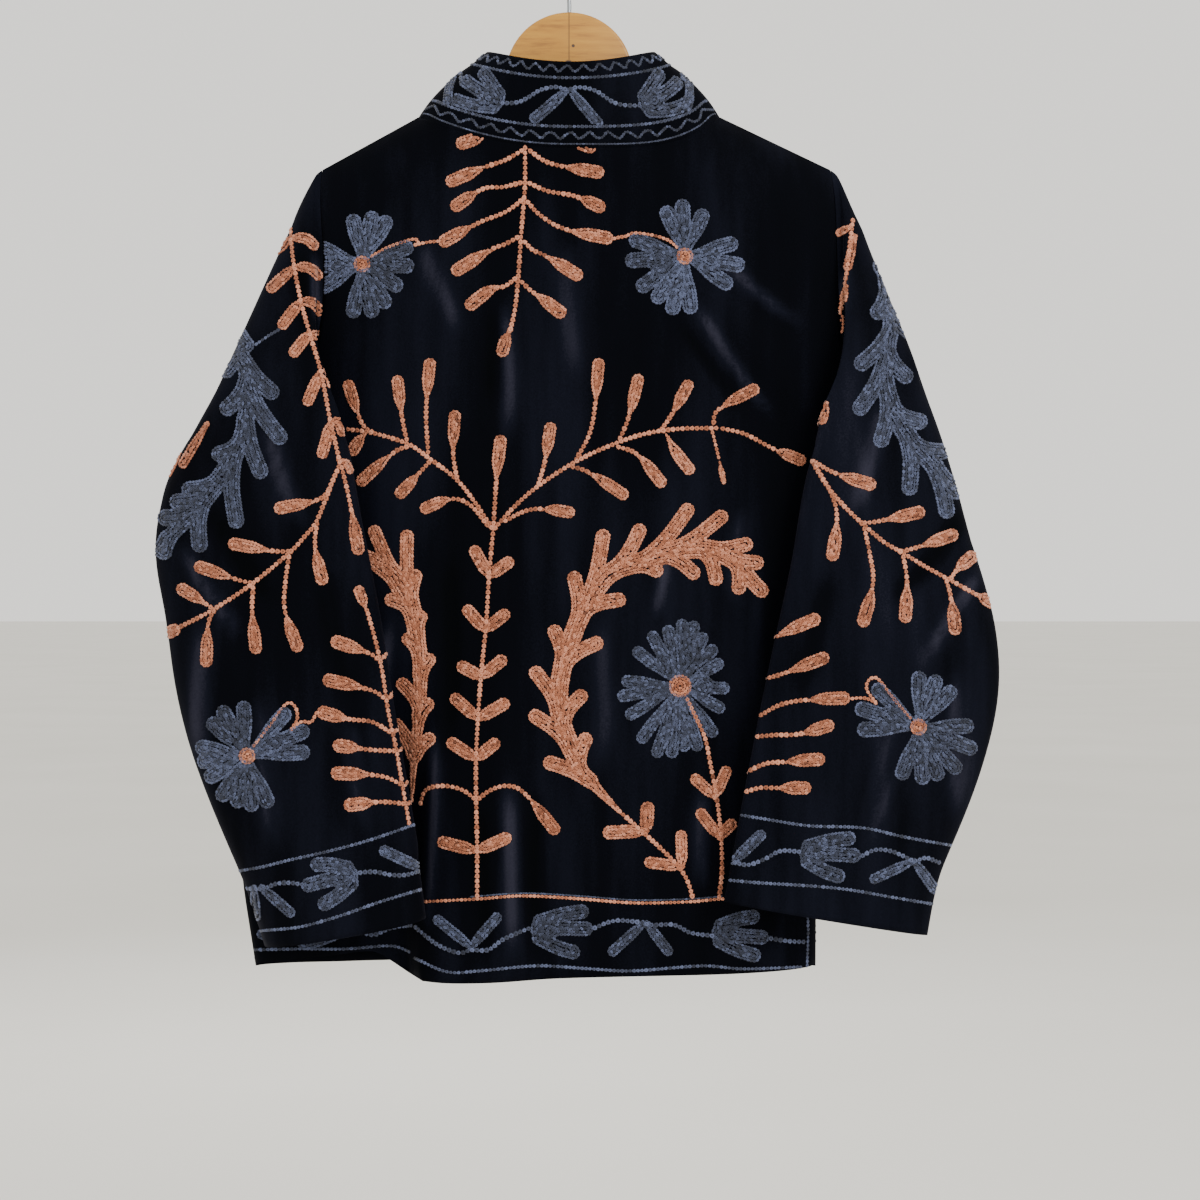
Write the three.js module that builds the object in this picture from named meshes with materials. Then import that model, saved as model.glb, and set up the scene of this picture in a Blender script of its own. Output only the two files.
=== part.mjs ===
// Embroidered velvet jacket hanging on a wooden hanger.
// Millimetres, +Z up. The back of the jacket faces +Y and the wearer's left is +X.
// The origin is the inside top of the hanger's hook, where a rail carries the whole part.

import * as THREE from 'three';

// ---- driving dimensions ----

const WALL = 2; // velvet and its backing
const SEAM_GAP = 0.5; // clear space between two pieces that are sewn together
const ARMHOLE_GAP = 0.8; // the same, measured straight out from the armhole
const UNDERARM_GAP = 1.1; // what the underarm adds to that, since it is met at a slant

const HEM_Z = -856; // lower edge at the side seams
const TIP_Z = -191; // shoulder tips
const UNDERARM = 0.654; // share of the side's height at which the armhole starts
const SHOULDER_TURN = 0.88; // share of the height above which the cloth turns over the hanger
const ARMHOLE_TRIM = 0.44; // radians of the section that the armhole takes at its widest
const ARMHOLE_POWER = 0.75; // below 1, the armhole widens faster at its ends than a sine
const CHEST_POWER = 0.55; // below 1, the section is fuller towards its sides than an ellipse
const NECK_EASE = 30; // from the neck's side to where its edge stands upright
const CENTRE_OPENING = 0.006; // half of the gap between the fronts, as a share of the way round

const NECK_HALF_WIDTH = 126;
const NECK_SIDE_Z = -147;
const NECK = {
  back: { dropLeft: 32, dropRight: 32, powerLeft: 2.1, powerRight: 4, depth: 34 },
  front: { dropLeft: 66, dropRight: 66, powerLeft: 2, powerRight: 2, depth: 30 },
};

const COLLAR_TOP = { centreX: -1.5, halfWidth: 71, halfDepth: 28, backZ: -107, sideZ: -93, frontZ: -119 };
const COLLAR_LIFT = 1.4; // straight up from the neck's sloping edge, which leaves the seam gap
const COLLAR_BELLY = 5; // how far the collar bows out half way up
const COLLAR_ROUND = 0.985; // share of the full turn that the collar closes
const COLLAR_ROWS = 5;

const WOOD_THICKNESS = 11;
const WOOD_EDGE = 2.5; // rounding of the plate's edges
const HEAD_RADIUS = 53;
const HEAD_TOP_Z = -60;
const HEAD_END = -0.3; // angle at which the head's round runs into the flanks
const FLANK = { out: 4, down: 3, foot: 84 }; // pull of its curve, and where the arm's top starts
const ARM_CLEARANCE = 12; // from the shoulder seam down to the wood
const ARM_REACH = 187;
const ARM_HEIGHT = 34;
const ARM_END = { out: 4, cut: 12, drop: 0.6, pull: 0.7 }; // rounded end, drops in arm heights
const ARM_BELLY = 110; // reach at which the lower edge hangs fullest
const ARM_MIDDLE = 60; // the middle of the lower edge lies as high as at this reach

const HOOK_WIRE = 3.6;
const HOOK_RADIUS = 19; // centre line of the wire
const HOOK_STEM = { rise: 8, lean: 2, ease: 4 }; // straight part, and its swing into the round
const HOOK_TURNS = [-45, -20, 10, 40, 65, 90, 115, 140, 165, 190, 212]; // degrees

// ---- tables: one row for each section or fold ----

const table = (columns, ...rows) => rows.map(
  (row) => Object.fromEntries(columns.map((name, k) => [name, row[k]])),
);

// Sections of the body from hem to shoulder tip: how far the sides reach and half the depth.
const BODY = table(
  ['at', 'left', 'right', 'depth'],
  [0.000, 262, 206, 38],
  [0.147, 275, 207, 36],
  [0.308, 267, 213, 34],
  [0.474, 248, 223, 32],
  [0.654, 229, 236, 30],
  [0.827, 226, 246, 28],
  [1.000, 206, 218, 26],
);

// Hem of the back, by its place across the panel from the left side seam to the right one.
const HEM = table(
  ['at', 'rise'],
  [0.00, 2],
  [0.26, 10],
  [0.31, 14],
  [0.345, -2],
  [0.40, -9],
  [0.55, -4],
  [0.80, -2],
  [1.00, 2],
);

// Sleeves from armhole to cuff. Each row is a flattened ring between an outer and an inner edge,
// with half its thickness, and how far its middle on the body's side lies out and down.
const SLEEVE_COLUMNS = [
  'at', 'outX', 'outY', 'outZ', 'inX', 'inY', 'inZ', 'depth', 'slideX', 'slideZ',
];
const FLATNESS = 0.8; // below 1, a sleeve's two faces lie flatter than an ellipse's
const SLEEVE_LEFT = table(
  SLEEVE_COLUMNS,
  [0.00, 207, 1, -194, 209, 13, -370, 12, 20, -138],
  [0.06, 227, 4, -222, 197, 26, -376, 16, 26, -120],
  [0.12, 250, 8, -272, 189, 33, -388, 19, 22, -98],
  [0.20, 272, 14, -330, 183, 38, -407, 20, 15, -72],
  [0.30, 301, 18, -393, 177, 42, -438, 21, 4, -48],
  [0.40, 334, 22, -455, 169, 46, -482, 21, 1, -28],
  [0.47, 343, 25, -508, 163, 49, -511, 21, 0, -12],
  [0.56, 332, 31, -565, 152, 53, -565, 22, 0, -4],
  [0.66, 323, 38, -624, 143, 57, -624, 22, 0, 0],
  [0.76, 306, 43, -684, 132, 60, -686, 24, 0, 0],
  [0.86, 280, 47, -747, 121, 62, -749, 28, 0, 0],
  [0.93, 263, 49, -785, 116, 63, -781, 33, 0, 0],
  [1.00, 248, 50, -832, 113, 64, -807, 38, 0, 0],
);
const SLEEVE_RIGHT = table(
  SLEEVE_COLUMNS,
  [0.00, 219, 1, -195, 229, 13, -370, 12, 12, -138],
  [0.06, 240, 4, -222, 217, 26, -374, 17, 11, -126],
  [0.12, 259, 8, -268, 209, 32, -388, 19, 8, -102],
  [0.20, 277, 11, -322, 204, 34, -406, 18, 5, -76],
  [0.30, 300, 14, -385, 199, 38, -430, 18, 2, -50],
  [0.40, 322, 16, -455, 190, 42, -470, 19, 0, -28],
  [0.47, 336, 18, -510, 183, 44, -515, 18, 0, -12],
  [0.56, 352, 20, -566, 172, 47, -565, 18, 0, -4],
  [0.66, 356, 22, -626, 160, 50, -620, 18, 0, 0],
  [0.76, 341, 24, -690, 146, 53, -690, 18, 0, 0],
  [0.86, 318, 27, -748, 135, 55, -748, 17, 0, 0],
  [0.93, 304, 29, -780, 130, 56, -776, 16, 0, 0],
  [1.00, 295, 31, -826, 126, 57, -795, 15, 0, 0],
);

// Soft folds of the panels: a line from high to low, its half width and how far it stands out.
const FOLD_COLUMNS = ['x1', 'z1', 'x2', 'z2', 'width', 'height'];
const BACK_FOLDS = table(
  FOLD_COLUMNS,
  [-112, -292, -206, -400, 13, 6],
  [-96, -322, -190, -430, 15, -5],
  [52, -560, 58, -850, 17, 6],
  [18, -640, 20, -850, 16, -5],
  [-74, -470, -86, -700, 20, 4],
  [-140, -440, -150, -640, 18, 5],
  [-128, -700, -120, -850, 16, 5],
  [150, -330, 130, -520, 18, 5],
);
const FRONT_FOLDS = table(
  FOLD_COLUMNS,
  [110, -290, 170, -430, 15, 6],
  [-100, -280, -180, -420, 15, 6],
  [90, -560, 120, -850, 20, 7],
  [-70, -520, -90, -850, 20, 7],
  [180, -640, 200, -850, 16, -5],
  [-140, -660, -140, -850, 16, -5],
);

// The deep fold at the lower left of the back: to its left the cloth lies further in.
const DEEP_FOLD = { x: 128, halfWidth: 9, topZ: -560, fullZ: -760, depth: 9 };

// How a soft fold rises from its upper end and runs out past its lower one.
const FOLD_FADE = { start: 3, end: 4, past: 1.15 };

// ---- curves and surfaces ----

const mix = (a, b, t) => a + (b - a) * t;
const clamp01 = (t) => Math.min(Math.max(t, 0), 1);
const soft = (t) => clamp01(t) ** 2 * (3 - 2 * clamp01(t));

/** A smooth curve through one column of a table, whose `at` values rise. */
function read(rows, column, t) {
  const last = rows.length - 1;
  let k = 0;
  while (k < last - 1 && rows[k + 1].at < t) k += 1;
  const [from, to] = [rows[k], rows[k + 1]];
  const [before, after] = [rows[Math.max(k - 1, 0)], rows[Math.min(k + 2, last)]];
  const span = to.at - from.at;
  const leave = (to[column] - before[column]) / (to.at - before.at) * span;
  const arrive = (after[column] - from[column]) / (after.at - from.at) * span;
  const w = (t - from.at) / span;
  return from[column] * (1 + 2 * w) * (1 - w) ** 2 + leave * w * (1 - w) ** 2
    + to[column] * w ** 2 * (3 - 2 * w) - arrive * w ** 2 * (1 - w);
}

/** How far all the folds of a panel lift the cloth at one place. */
function foldHeight(folds, x, z) {
  let height = 0;
  for (const fold of folds) {
    const [dx, dz] = [fold.x2 - fold.x1, fold.z2 - fold.z1];
    const along = ((x - fold.x1) * dx + (z - fold.z1) * dz) / (dx * dx + dz * dz);
    const aside = ((x - fold.x1) * dz - (z - fold.z1) * dx) / Math.hypot(dx, dz);
    const fade = soft(along * FOLD_FADE.start) * soft((FOLD_FADE.past - along) * FOLD_FADE.end);
    height += fold.height * fade * Math.exp(-((aside / fold.width) ** 2));
  }
  return height;
}

/** The place across the shoulders at which a column of the body ends. */
function shoulderX(across) {
  const [left, right] = [read(BODY, 'left', 1), read(BODY, 'right', 1)];
  return (left - right) / 2 + (left + right) / 2 * Math.cos(Math.PI * across);
}

/** Top edge of a panel: shoulder seam, neck, shoulder seam. */
function topEdge(neck, across) {
  const x = shoulderX(across);
  const share = Math.abs(x) / NECK_HALF_WIDTH;
  if (share >= 1) {
    const tipX = Math.abs(shoulderX(x > 0 ? 0 : 1));
    const t = (Math.abs(x) - NECK_HALF_WIDTH) / (tipX - NECK_HALF_WIDTH);
    return { y: 0, z: mix(NECK_SIDE_Z, TIP_Z, t) };
  }
  const [drop, power] = x > 0 ? [neck.dropLeft, neck.powerLeft] : [neck.dropRight, neck.powerRight];
  return {
    y: neck.depth * Math.sqrt(1 - share ** 2),
    z: NECK_SIDE_Z - drop * (1 - share ** power),
  };
}

/** A point of the body. across: 0 at the left side, 1 at the right. up: 0 at the hem, 1 on top. */
function bodyPoint(side, across, up) {
  const isBack = side === 'back';
  const [left, right] = [read(BODY, 'left', up), read(BODY, 'right', up)];
  const arm = clamp01((up - UNDERARM) / (1 - UNDERARM));
  const trim = ARMHOLE_TRIM * Math.sin(Math.PI * arm) ** ARMHOLE_POWER;
  const angle = mix(trim, Math.PI - trim, across);
  const x = (left - right) / 2 + (left + right) / 2 * Math.cos(angle);
  const top = topEdge(isBack ? NECK.back : NECK.front, across);
  const hem = HEM_Z + (isBack ? read(HEM, 'rise', across) : 0);
  const z = mix(hem, top.z, up);
  const turn = clamp01((up - SHOULDER_TURN) / (1 - SHOULDER_TURN));
  const inNeck = soft((NECK_HALF_WIDTH - Math.abs(shoulderX(across))) / NECK_EASE);
  const fullness = mix(Math.sqrt(1 - turn ** 2), 1 - soft(turn), inNeck);
  let depth = read(BODY, 'depth', up) * Math.sin(angle) ** mix(1, CHEST_POWER, soft(2 * arm));
  depth += foldHeight(isBack ? BACK_FOLDS : FRONT_FOLDS, x, z) * Math.sqrt(Math.sin(angle));
  if (isBack) {
    const behind = soft((x - DEEP_FOLD.x) / DEEP_FOLD.halfWidth / 2 + 0.5);
    const low = soft((DEEP_FOLD.topZ - z) / (DEEP_FOLD.topZ - DEEP_FOLD.fullZ));
    depth = mix(depth, Math.min(depth, DEEP_FOLD.depth), behind * low);
  }
  const y = Math.max(mix(top.y, depth, fullness), SEAM_GAP / 2);
  return new THREE.Vector3(x, isBack ? y : -y, z);
}

/** Four points of a sleeve's section, joined by a closed curve that passes through them. */
function sleeveSection(rows, at, turn) {
  const get = (column) => read(rows, column, at);
  const outer = new THREE.Vector3(get('outX'), get('outY'), get('outZ'));
  const inner = new THREE.Vector3(get('inX'), get('inY'), get('inZ'));
  const middle = outer.clone().add(inner).multiplyScalar(0.5);
  const back = middle.clone().add(new THREE.Vector3(0, get('depth'), 0));
  const under = middle.clone().add(new THREE.Vector3(get('slideX'), -get('depth'), get('slideZ')));
  const side = Math.sin(turn);
  const facing = back.clone().add(under).multiplyScalar(0.5);
  const centre = middle.clone().add(facing).multiplyScalar(0.5);
  return centre
    .addScaledVector(outer.clone().sub(inner), Math.cos(turn) / 2)
    .addScaledVector(back.clone().sub(under), Math.sign(side) * Math.abs(side) ** FLATNESS / 2)
    .addScaledVector(middle.clone().sub(facing), Math.cos(2 * turn) / 2);
}

// ---- walls ----

/** Normals of a grid of points; sign says which side of the grid is outside. */
function gridNormals(grid, sign, closed) {
  const [rows, columns] = [grid.length, grid[0].length];
  const step = (j, by) => (closed ? (j + by + columns) % columns
    : Math.min(Math.max(j + by, 0), columns - 1));
  return grid.map((row, i) => row.map((point, j) => {
    const across = row[step(j, 1)].clone().sub(row[step(j, -1)]);
    const along = grid[Math.min(i + 1, rows - 1)][j].clone().sub(grid[Math.max(i - 1, 0)][j]);
    return across.cross(along).normalize().multiplyScalar(sign);
  }));
}

/** The inner face of a wall, one thickness behind the outer one. */
function behind(grid, normals) {
  return grid.map((row, i) => row.map((point, j) => point.clone().addScaledVector(normals[i][j], -WALL)));
}

/** One closed solid between an outer and an inner grid. */
function wallGeometry(outer, inner, closed) {
  const [rows, columns] = [outer.length, outer[0].length];
  const points = [...outer.flat(), ...inner.flat()];
  const faces = [];
  const quad = (a, b, c, d) => faces.push(a, b, c, a, c, d);
  const id = (layer, i, j) => layer * rows * columns + i * columns + (j % columns);
  const spans = closed ? columns : columns - 1;
  for (let i = 0; i < rows - 1; i += 1) {
    for (let j = 0; j < spans; j += 1) {
      quad(id(0, i, j), id(0, i, j + 1), id(0, i + 1, j + 1), id(0, i + 1, j));
      quad(id(1, i, j), id(1, i + 1, j), id(1, i + 1, j + 1), id(1, i, j + 1));
    }
  }
  for (let j = 0; j < spans; j += 1) {
    quad(id(0, 0, j), id(1, 0, j), id(1, 0, j + 1), id(0, 0, j + 1));
    quad(id(0, rows - 1, j), id(0, rows - 1, j + 1), id(1, rows - 1, j + 1), id(1, rows - 1, j));
  }
  for (let i = 0; i < rows - 1 && !closed; i += 1) {
    quad(id(0, i, 0), id(0, i + 1, 0), id(1, i + 1, 0), id(1, i, 0));
    quad(id(0, i, spans), id(1, i, spans), id(1, i + 1, spans), id(0, i + 1, spans));
  }
  const volume = faces.reduce((sum, _, k) => (k % 3 ? sum
    : sum + points[faces[k]].dot(points[faces[k + 1]].clone().cross(points[faces[k + 2]]))), 0);
  if (volume < 0) faces.reverse();
  const geometry = new THREE.BufferGeometry().setFromPoints(points);
  geometry.setIndex(faces);
  geometry.computeVertexNormals();
  return geometry;
}

function piece(name, geometry, color, roughness, metalness = 0) {
  const mesh = new THREE.Mesh(geometry, new THREE.MeshStandardMaterial({ color, roughness, metalness }));
  mesh.name = name;
  return mesh;
}

const velvet = (name, geometry) => piece(name, geometry, 0x0d0f18, 0.85);

// ---- rows and columns that neighbouring pieces share ----

const SKIRT_ROWS = 17;
const ARMHOLE_ROWS = [0, 0.09, 0.18, 0.28, 0.38, 0.48, 0.58, 0.68, 0.77, 0.85, 0.92, 0.97, 1];
const NECK_COLUMNS = 10; // on each side of the centre
const SHOULDER_COLUMNS = 6;

const LEVELS = [
  ...Array.from({ length: SKIRT_ROWS }, (_, k) => UNDERARM * k / SKIRT_ROWS),
  ...ARMHOLE_ROWS.map((share) => mix(UNDERARM, 1, share)),
];

/** Share of the way across at which the shoulder seam meets the neck. */
function neckShare(sign) {
  const [left, right] = [read(BODY, 'left', 1), read(BODY, 'right', 1)];
  return Math.acos((sign * NECK_HALF_WIDTH - (left - right) / 2) * 2 / (left + right)) / Math.PI;
}

const NECK_LEFT = neckShare(1);
const NECK_RIGHT = neckShare(-1);
const steps = (from, to, count) => Array.from({ length: count }, (_, k) => mix(from, to, k / count));

const ACROSS_BACK = [
  ...steps(0, NECK_LEFT, SHOULDER_COLUMNS),
  ...steps(NECK_LEFT, 0.5, NECK_COLUMNS),
  ...steps(0.5, NECK_RIGHT, NECK_COLUMNS),
  ...steps(NECK_RIGHT, 1, SHOULDER_COLUMNS),
  1,
];
const ACROSS_LEFT = [
  ...steps(0, NECK_LEFT, SHOULDER_COLUMNS),
  ...steps(NECK_LEFT, 0.5 - CENTRE_OPENING, NECK_COLUMNS),
  0.5 - CENTRE_OPENING,
];
const ACROSS_RIGHT = [
  ...steps(0.5 + CENTRE_OPENING, NECK_RIGHT, NECK_COLUMNS),
  ...steps(NECK_RIGHT, 1, SHOULDER_COLUMNS),
  1,
];

/** Outer and inner face of a body panel; the inner one stays on its own side of the seams. */
function panelFaces(side, columns) {
  const sign = side === 'back' ? 1 : -1;
  const outer = LEVELS.map((up) => columns.map((across) => bodyPoint(side, across, up)));
  const inner = behind(outer, gridNormals(outer, sign, false));
  for (const point of inner.flat()) {
    point.y = sign * Math.max(sign * point.y, SEAM_GAP / 2);
  }
  return { outer, inner };
}

function panel(name, side, columns) {
  const { outer, inner } = panelFaces(side, columns);
  return velvet(name, wallGeometry(outer, inner, false));
}

// ---- sleeves ----

const SLEEVE_LEVELS = [
  0, 0.012, 0.045, 0.08, 0.12, 0.16, 0.20, 0.245, 0.29, 0.335, 0.38, 0.42, 0.46, 0.50,
  0.545, 0.59, 0.64, 0.69, 0.74, 0.79, 0.84, 0.885, 0.925, 0.963, 1,
];
const CAP_BLEND = 0.22; // share of the length over which the ring leaves the armhole's shape
const ARM_STEPS = ARMHOLE_ROWS.length - 2; // the sleeve skips the row just below the tip
const CAP_LEAVE = 0.012; // share over which it first stands straight out from the armhole
const CAP_STAND = 5; // how far it stands out there
const UNDERARM_RISE = 0.8; // slope of that first stretch at the underarm
const TIP_FALL = 0.65; // and at the shoulder tip
const TIP_THINNING = 0.5; // share of the wall that the narrow fold at the tip gives up
const FOLD_STEP = 7; // the step of the armhole from which the inner fold starts
const END_STEPS = 3; // how many steps the underarm's and the tip's shaping reach

/** Turn of a sleeve's section for a step round the armhole: tip, back, underarm, front. */
function sleeveTurn(step) {
  if (step <= FOLD_STEP) return Math.PI * step / FOLD_STEP;
  if (step <= ARM_STEPS) return Math.PI * (1 + 0.5 * (step - FOLD_STEP) / (ARM_STEPS - FOLD_STEP));
  return Math.PI * (1.5 + 0.5 * (step - ARM_STEPS) / ARM_STEPS);
}

/** Runs from 0 to 1, early where lead is above 0 and late where it is below. */
function ease(t, lead) {
  return lead > 0 ? 1 - (1 - t) ** (1 + lead) : t ** (1 - lead);
}

/** 1 at the underarm, 0 a few steps away. */
const nearUnderarm = (step) => soft(1 - Math.abs(step - ARM_STEPS) / END_STEPS);

/** 1 at the shoulder tip, 0 a few steps away. */
const nearTip = (step) => soft(1 - Math.min(step, 2 * ARM_STEPS - step) / END_STEPS);

/** The armhole's edge, as outer and inner points of the panels, moved out by the seam gap. */
function armhole(across) {
  const out = across === 0 ? 1 : -1;
  const edge = { outer: [], inner: [], away: [] };
  for (let step = 0; step < 2 * ARM_STEPS; step += 1) {
    const side = step <= ARM_STEPS ? 'back' : 'front';
    const climb = Math.abs(step - ARM_STEPS);
    const row = climb === ARM_STEPS ? LEVELS.length - 1 : SKIRT_ROWS + climb;
    const faces = panelFaces(side, ACROSS_BACK);
    const column = across === 0 ? 0 : ACROSS_BACK.length - 1;
    const low = nearUnderarm(step);
    const high = nearTip(step);
    const away = new THREE.Vector3(out, 0, UNDERARM_RISE * low - TIP_FALL * high).normalize();
    edge.away.push(away);
    for (const layer of ['outer', 'inner']) {
      const point = faces[layer][row][column].clone();
      point.addScaledVector(away, ARMHOLE_GAP + UNDERARM_GAP * low);
      if (step % ARM_STEPS === 0) point.y = 0;
      edge[layer].push(point);
    }
  }
  return edge;
}

function sleeve(name, rows, across) {
  const out = across === 0 ? 1 : -1;
  const edge = armhole(across);
  const outer = SLEEVE_LEVELS.map((at) => edge.outer.map((start, step) => {
    const turn = sleeveTurn(step);
    const reach = mix(Math.max(at, CAP_BLEND), at, soft(0.5 + Math.cos(turn)));
    const target = sleeveSection(rows, reach, turn);
    target.x *= out;
    const from = start.clone().addScaledVector(edge.away[step], CAP_STAND * clamp01(at / CAP_LEAVE));
    const blend = clamp01((at - CAP_LEAVE) / (CAP_BLEND - CAP_LEAVE));
    const low = nearUnderarm(step);
    const middle = Math.abs(Math.sin(Math.PI * step / ARM_STEPS)) * (1 - nearTip(step));
    const aside = Math.max(middle, low);
    const lead = step < ARM_STEPS ? aside : -aside;
    return new THREE.Vector3(
      mix(from.x, target.x, ease(blend, -lead)),
      mix(from.y, target.y, ease(blend, lead)),
      mix(from.z, target.z, ease(blend, -low)),
    );
  }));
  const normals = gridNormals(outer, -out, true);
  normals.forEach((row, i) => row.forEach((normal, step) => {
    normal.multiplyScalar(1 - TIP_THINNING * nearTip(step) * (1 - soft(SLEEVE_LEVELS[i] / CAP_BLEND)));
  }));
  const inner = behind(outer, normals);
  inner[0] = edge.inner;
  return velvet(name, wallGeometry(outer, inner, true));
}

// ---- collar ----

function collar() {
  const seam = [
    ...ACROSS_LEFT.slice(SHOULDER_COLUMNS + 1).reverse().map((across) => bodyPoint('front', across, 1)),
    ...ACROSS_BACK.slice(SHOULDER_COLUMNS, -SHOULDER_COLUMNS).map((across) => bodyPoint('back', across, 1)),
    ...ACROSS_RIGHT.slice(0, NECK_COLUMNS).reverse().map((across) => bodyPoint('front', across, 1)),
  ];
  const last = seam.length - 1;
  const heights = [...steps(0, 1, COLLAR_ROWS), 1];
  const outer = heights.map((height) => seam.map((start, k) => {
    const round = mix(-Math.PI, Math.PI, k / last) * COLLAR_ROUND;
    const side = Math.sin(round) ** 2;
    const endZ = Math.cos(round) > 0 ? COLLAR_TOP.backZ : COLLAR_TOP.frontZ;
    const top = new THREE.Vector3(
      COLLAR_TOP.centreX - COLLAR_TOP.halfWidth * Math.sin(round),
      COLLAR_TOP.halfDepth * Math.cos(round),
      mix(endZ, COLLAR_TOP.sideZ, side),
    );
    const belly = COLLAR_BELLY * 4 * height * (1 - height);
    const point = start.clone().lerp(top, height);
    point.x -= belly * Math.sin(round);
    point.z += COLLAR_LIFT * (1 - height);
    return point;
  }));
  const normals = gridNormals(outer, 1, false);
  for (const normal of normals[0]) normal.setZ(0).normalize();
  return velvet('collar', wallGeometry(outer, behind(outer, normals), false));
}

// ---- hanger and hook ----

function hanger() {
  const headZ = HEAD_TOP_Z - HEAD_RADIUS;
  const slope = (NECK_SIDE_Z - TIP_Z) / (shoulderX(0) - NECK_HALF_WIDTH);
  const armTop = (x) => NECK_SIDE_Z - ARM_CLEARANCE - slope * (x - NECK_HALF_WIDTH) - WOOD_EDGE;
  const headX = HEAD_RADIUS * Math.cos(HEAD_END) - WOOD_EDGE;
  const endZ = (drop) => armTop(ARM_REACH) - drop * ARM_HEIGHT;
  const cutX = ARM_REACH - ARM_END.cut;
  const bellyZ = armTop(ARM_BELLY) - ARM_HEIGHT;
  const shape = new THREE.Shape();
  shape.moveTo(headX, headZ + HEAD_RADIUS * Math.sin(HEAD_END));
  shape.absarc(0, headZ, HEAD_RADIUS - WOOD_EDGE, HEAD_END, Math.PI - HEAD_END, false);
  const footZ = armTop(FLANK.foot);
  shape.quadraticCurveTo(-headX - FLANK.out, footZ - FLANK.down, -FLANK.foot, footZ);
  shape.lineTo(-ARM_REACH, armTop(ARM_REACH));
  shape.quadraticCurveTo(-ARM_REACH - ARM_END.out, endZ(ARM_END.pull), -cutX, endZ(ARM_END.drop));
  shape.quadraticCurveTo(-ARM_BELLY, bellyZ, 0, armTop(ARM_MIDDLE) - ARM_HEIGHT);
  shape.quadraticCurveTo(ARM_BELLY, bellyZ, cutX, endZ(ARM_END.drop));
  shape.quadraticCurveTo(ARM_REACH + ARM_END.out, endZ(ARM_END.pull), ARM_REACH, armTop(ARM_REACH));
  shape.lineTo(FLANK.foot, footZ);
  const geometry = new THREE.ExtrudeGeometry(shape, {
    depth: WOOD_THICKNESS - 2 * WOOD_EDGE,
    bevelThickness: WOOD_EDGE,
    bevelSize: WOOD_EDGE,
    bevelSegments: 2,
    curveSegments: 14,
  });
  geometry.translate(0, 0, WOOD_EDGE - WOOD_THICKNESS / 2);
  geometry.rotateX(Math.PI / 2);
  return piece('hanger', geometry, 0xc49b5c, 0.45);
}

function hook() {
  const centreZ = HOOK_WIRE / 2 - HOOK_RADIUS;
  const at = (degrees) => new THREE.Vector3(
    HOOK_RADIUS * Math.cos(degrees * Math.PI / 180),
    0,
    centreZ + HOOK_RADIUS * Math.sin(degrees * Math.PI / 180),
  );
  const stemFoot = HEAD_TOP_Z + SEAM_GAP;
  const route = new THREE.CatmullRomCurve3([
    new THREE.Vector3(0, 0, stemFoot),
    new THREE.Vector3(0, 0, stemFoot + HOOK_STEM.rise),
    new THREE.Vector3(HOOK_STEM.lean, 0, centreZ - HOOK_RADIUS - HOOK_STEM.ease),
    ...HOOK_TURNS.map(at),
  ]);
  const wire = new THREE.Shape();
  wire.absarc(0, 0, HOOK_WIRE / 2, 0, 2 * Math.PI, false);
  const geometry = new THREE.ExtrudeGeometry(wire, {
    steps: 48,
    curveSegments: 4,
    extrudePath: route,
    bevelEnabled: false,
  });
  return piece('hook', geometry, 0x8a8d90, 0.3, 1);
}

const jacket = new THREE.Group();
jacket.add(
  panel('back', 'back', ACROSS_BACK),
  panel('front_left', 'front', ACROSS_LEFT),
  panel('front_right', 'front', ACROSS_RIGHT),
  sleeve('sleeve_left', SLEEVE_LEFT, 0),
  sleeve('sleeve_right', SLEEVE_RIGHT, 1),
  collar(),
  hanger(),
  hook(),
);

export default jacket;
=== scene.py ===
"""Embroidered velvet jacket on a wooden hanger: its cloth, its chain stitch and its finishes."""

from __future__ import annotations

import logging
import math
from collections.abc import Iterable, Sequence
from dataclasses import dataclass, field
from enum import Enum

import bmesh
import bpy
import numpy as np
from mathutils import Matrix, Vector
from mathutils.bvhtree import BVHTree

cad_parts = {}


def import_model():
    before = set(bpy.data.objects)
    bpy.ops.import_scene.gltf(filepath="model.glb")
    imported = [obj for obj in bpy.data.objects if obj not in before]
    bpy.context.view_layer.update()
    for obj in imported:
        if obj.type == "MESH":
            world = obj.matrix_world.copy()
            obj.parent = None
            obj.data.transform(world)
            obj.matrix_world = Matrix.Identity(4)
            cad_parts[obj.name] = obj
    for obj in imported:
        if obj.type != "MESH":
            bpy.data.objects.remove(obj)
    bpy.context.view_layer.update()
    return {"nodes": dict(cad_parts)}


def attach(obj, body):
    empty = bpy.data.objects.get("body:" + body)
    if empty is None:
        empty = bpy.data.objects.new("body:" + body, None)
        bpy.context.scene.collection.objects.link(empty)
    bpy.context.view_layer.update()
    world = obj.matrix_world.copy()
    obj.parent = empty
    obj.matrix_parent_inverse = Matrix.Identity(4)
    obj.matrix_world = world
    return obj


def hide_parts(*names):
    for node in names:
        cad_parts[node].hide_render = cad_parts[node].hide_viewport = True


log = logging.getLogger("jacket")

MM = 0.001

Point2 = tuple[float, float]
Path2 = Sequence[Point2]
Tree = bpy.types.NodeTree
Mesh = bpy.types.Object


# ---------------------------------------------------------------- small helpers


def linear(hex_colour: str) -> tuple[float, float, float, float]:
    """Turn an sRGB hex colour into linear values.

    Args:
        hex_colour: Six hex digits after a hash sign.

    Returns:
        Red, green, blue and an alpha of one.
    """
    parts = [int(hex_colour[k : k + 2], 16) / 255 for k in (1, 3, 5)]
    flat = [p / 12.92 if p <= 0.04045 else ((p + 0.055) / 1.055) ** 2.4 for p in parts]
    return (flat[0], flat[1], flat[2], 1.0)


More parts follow.
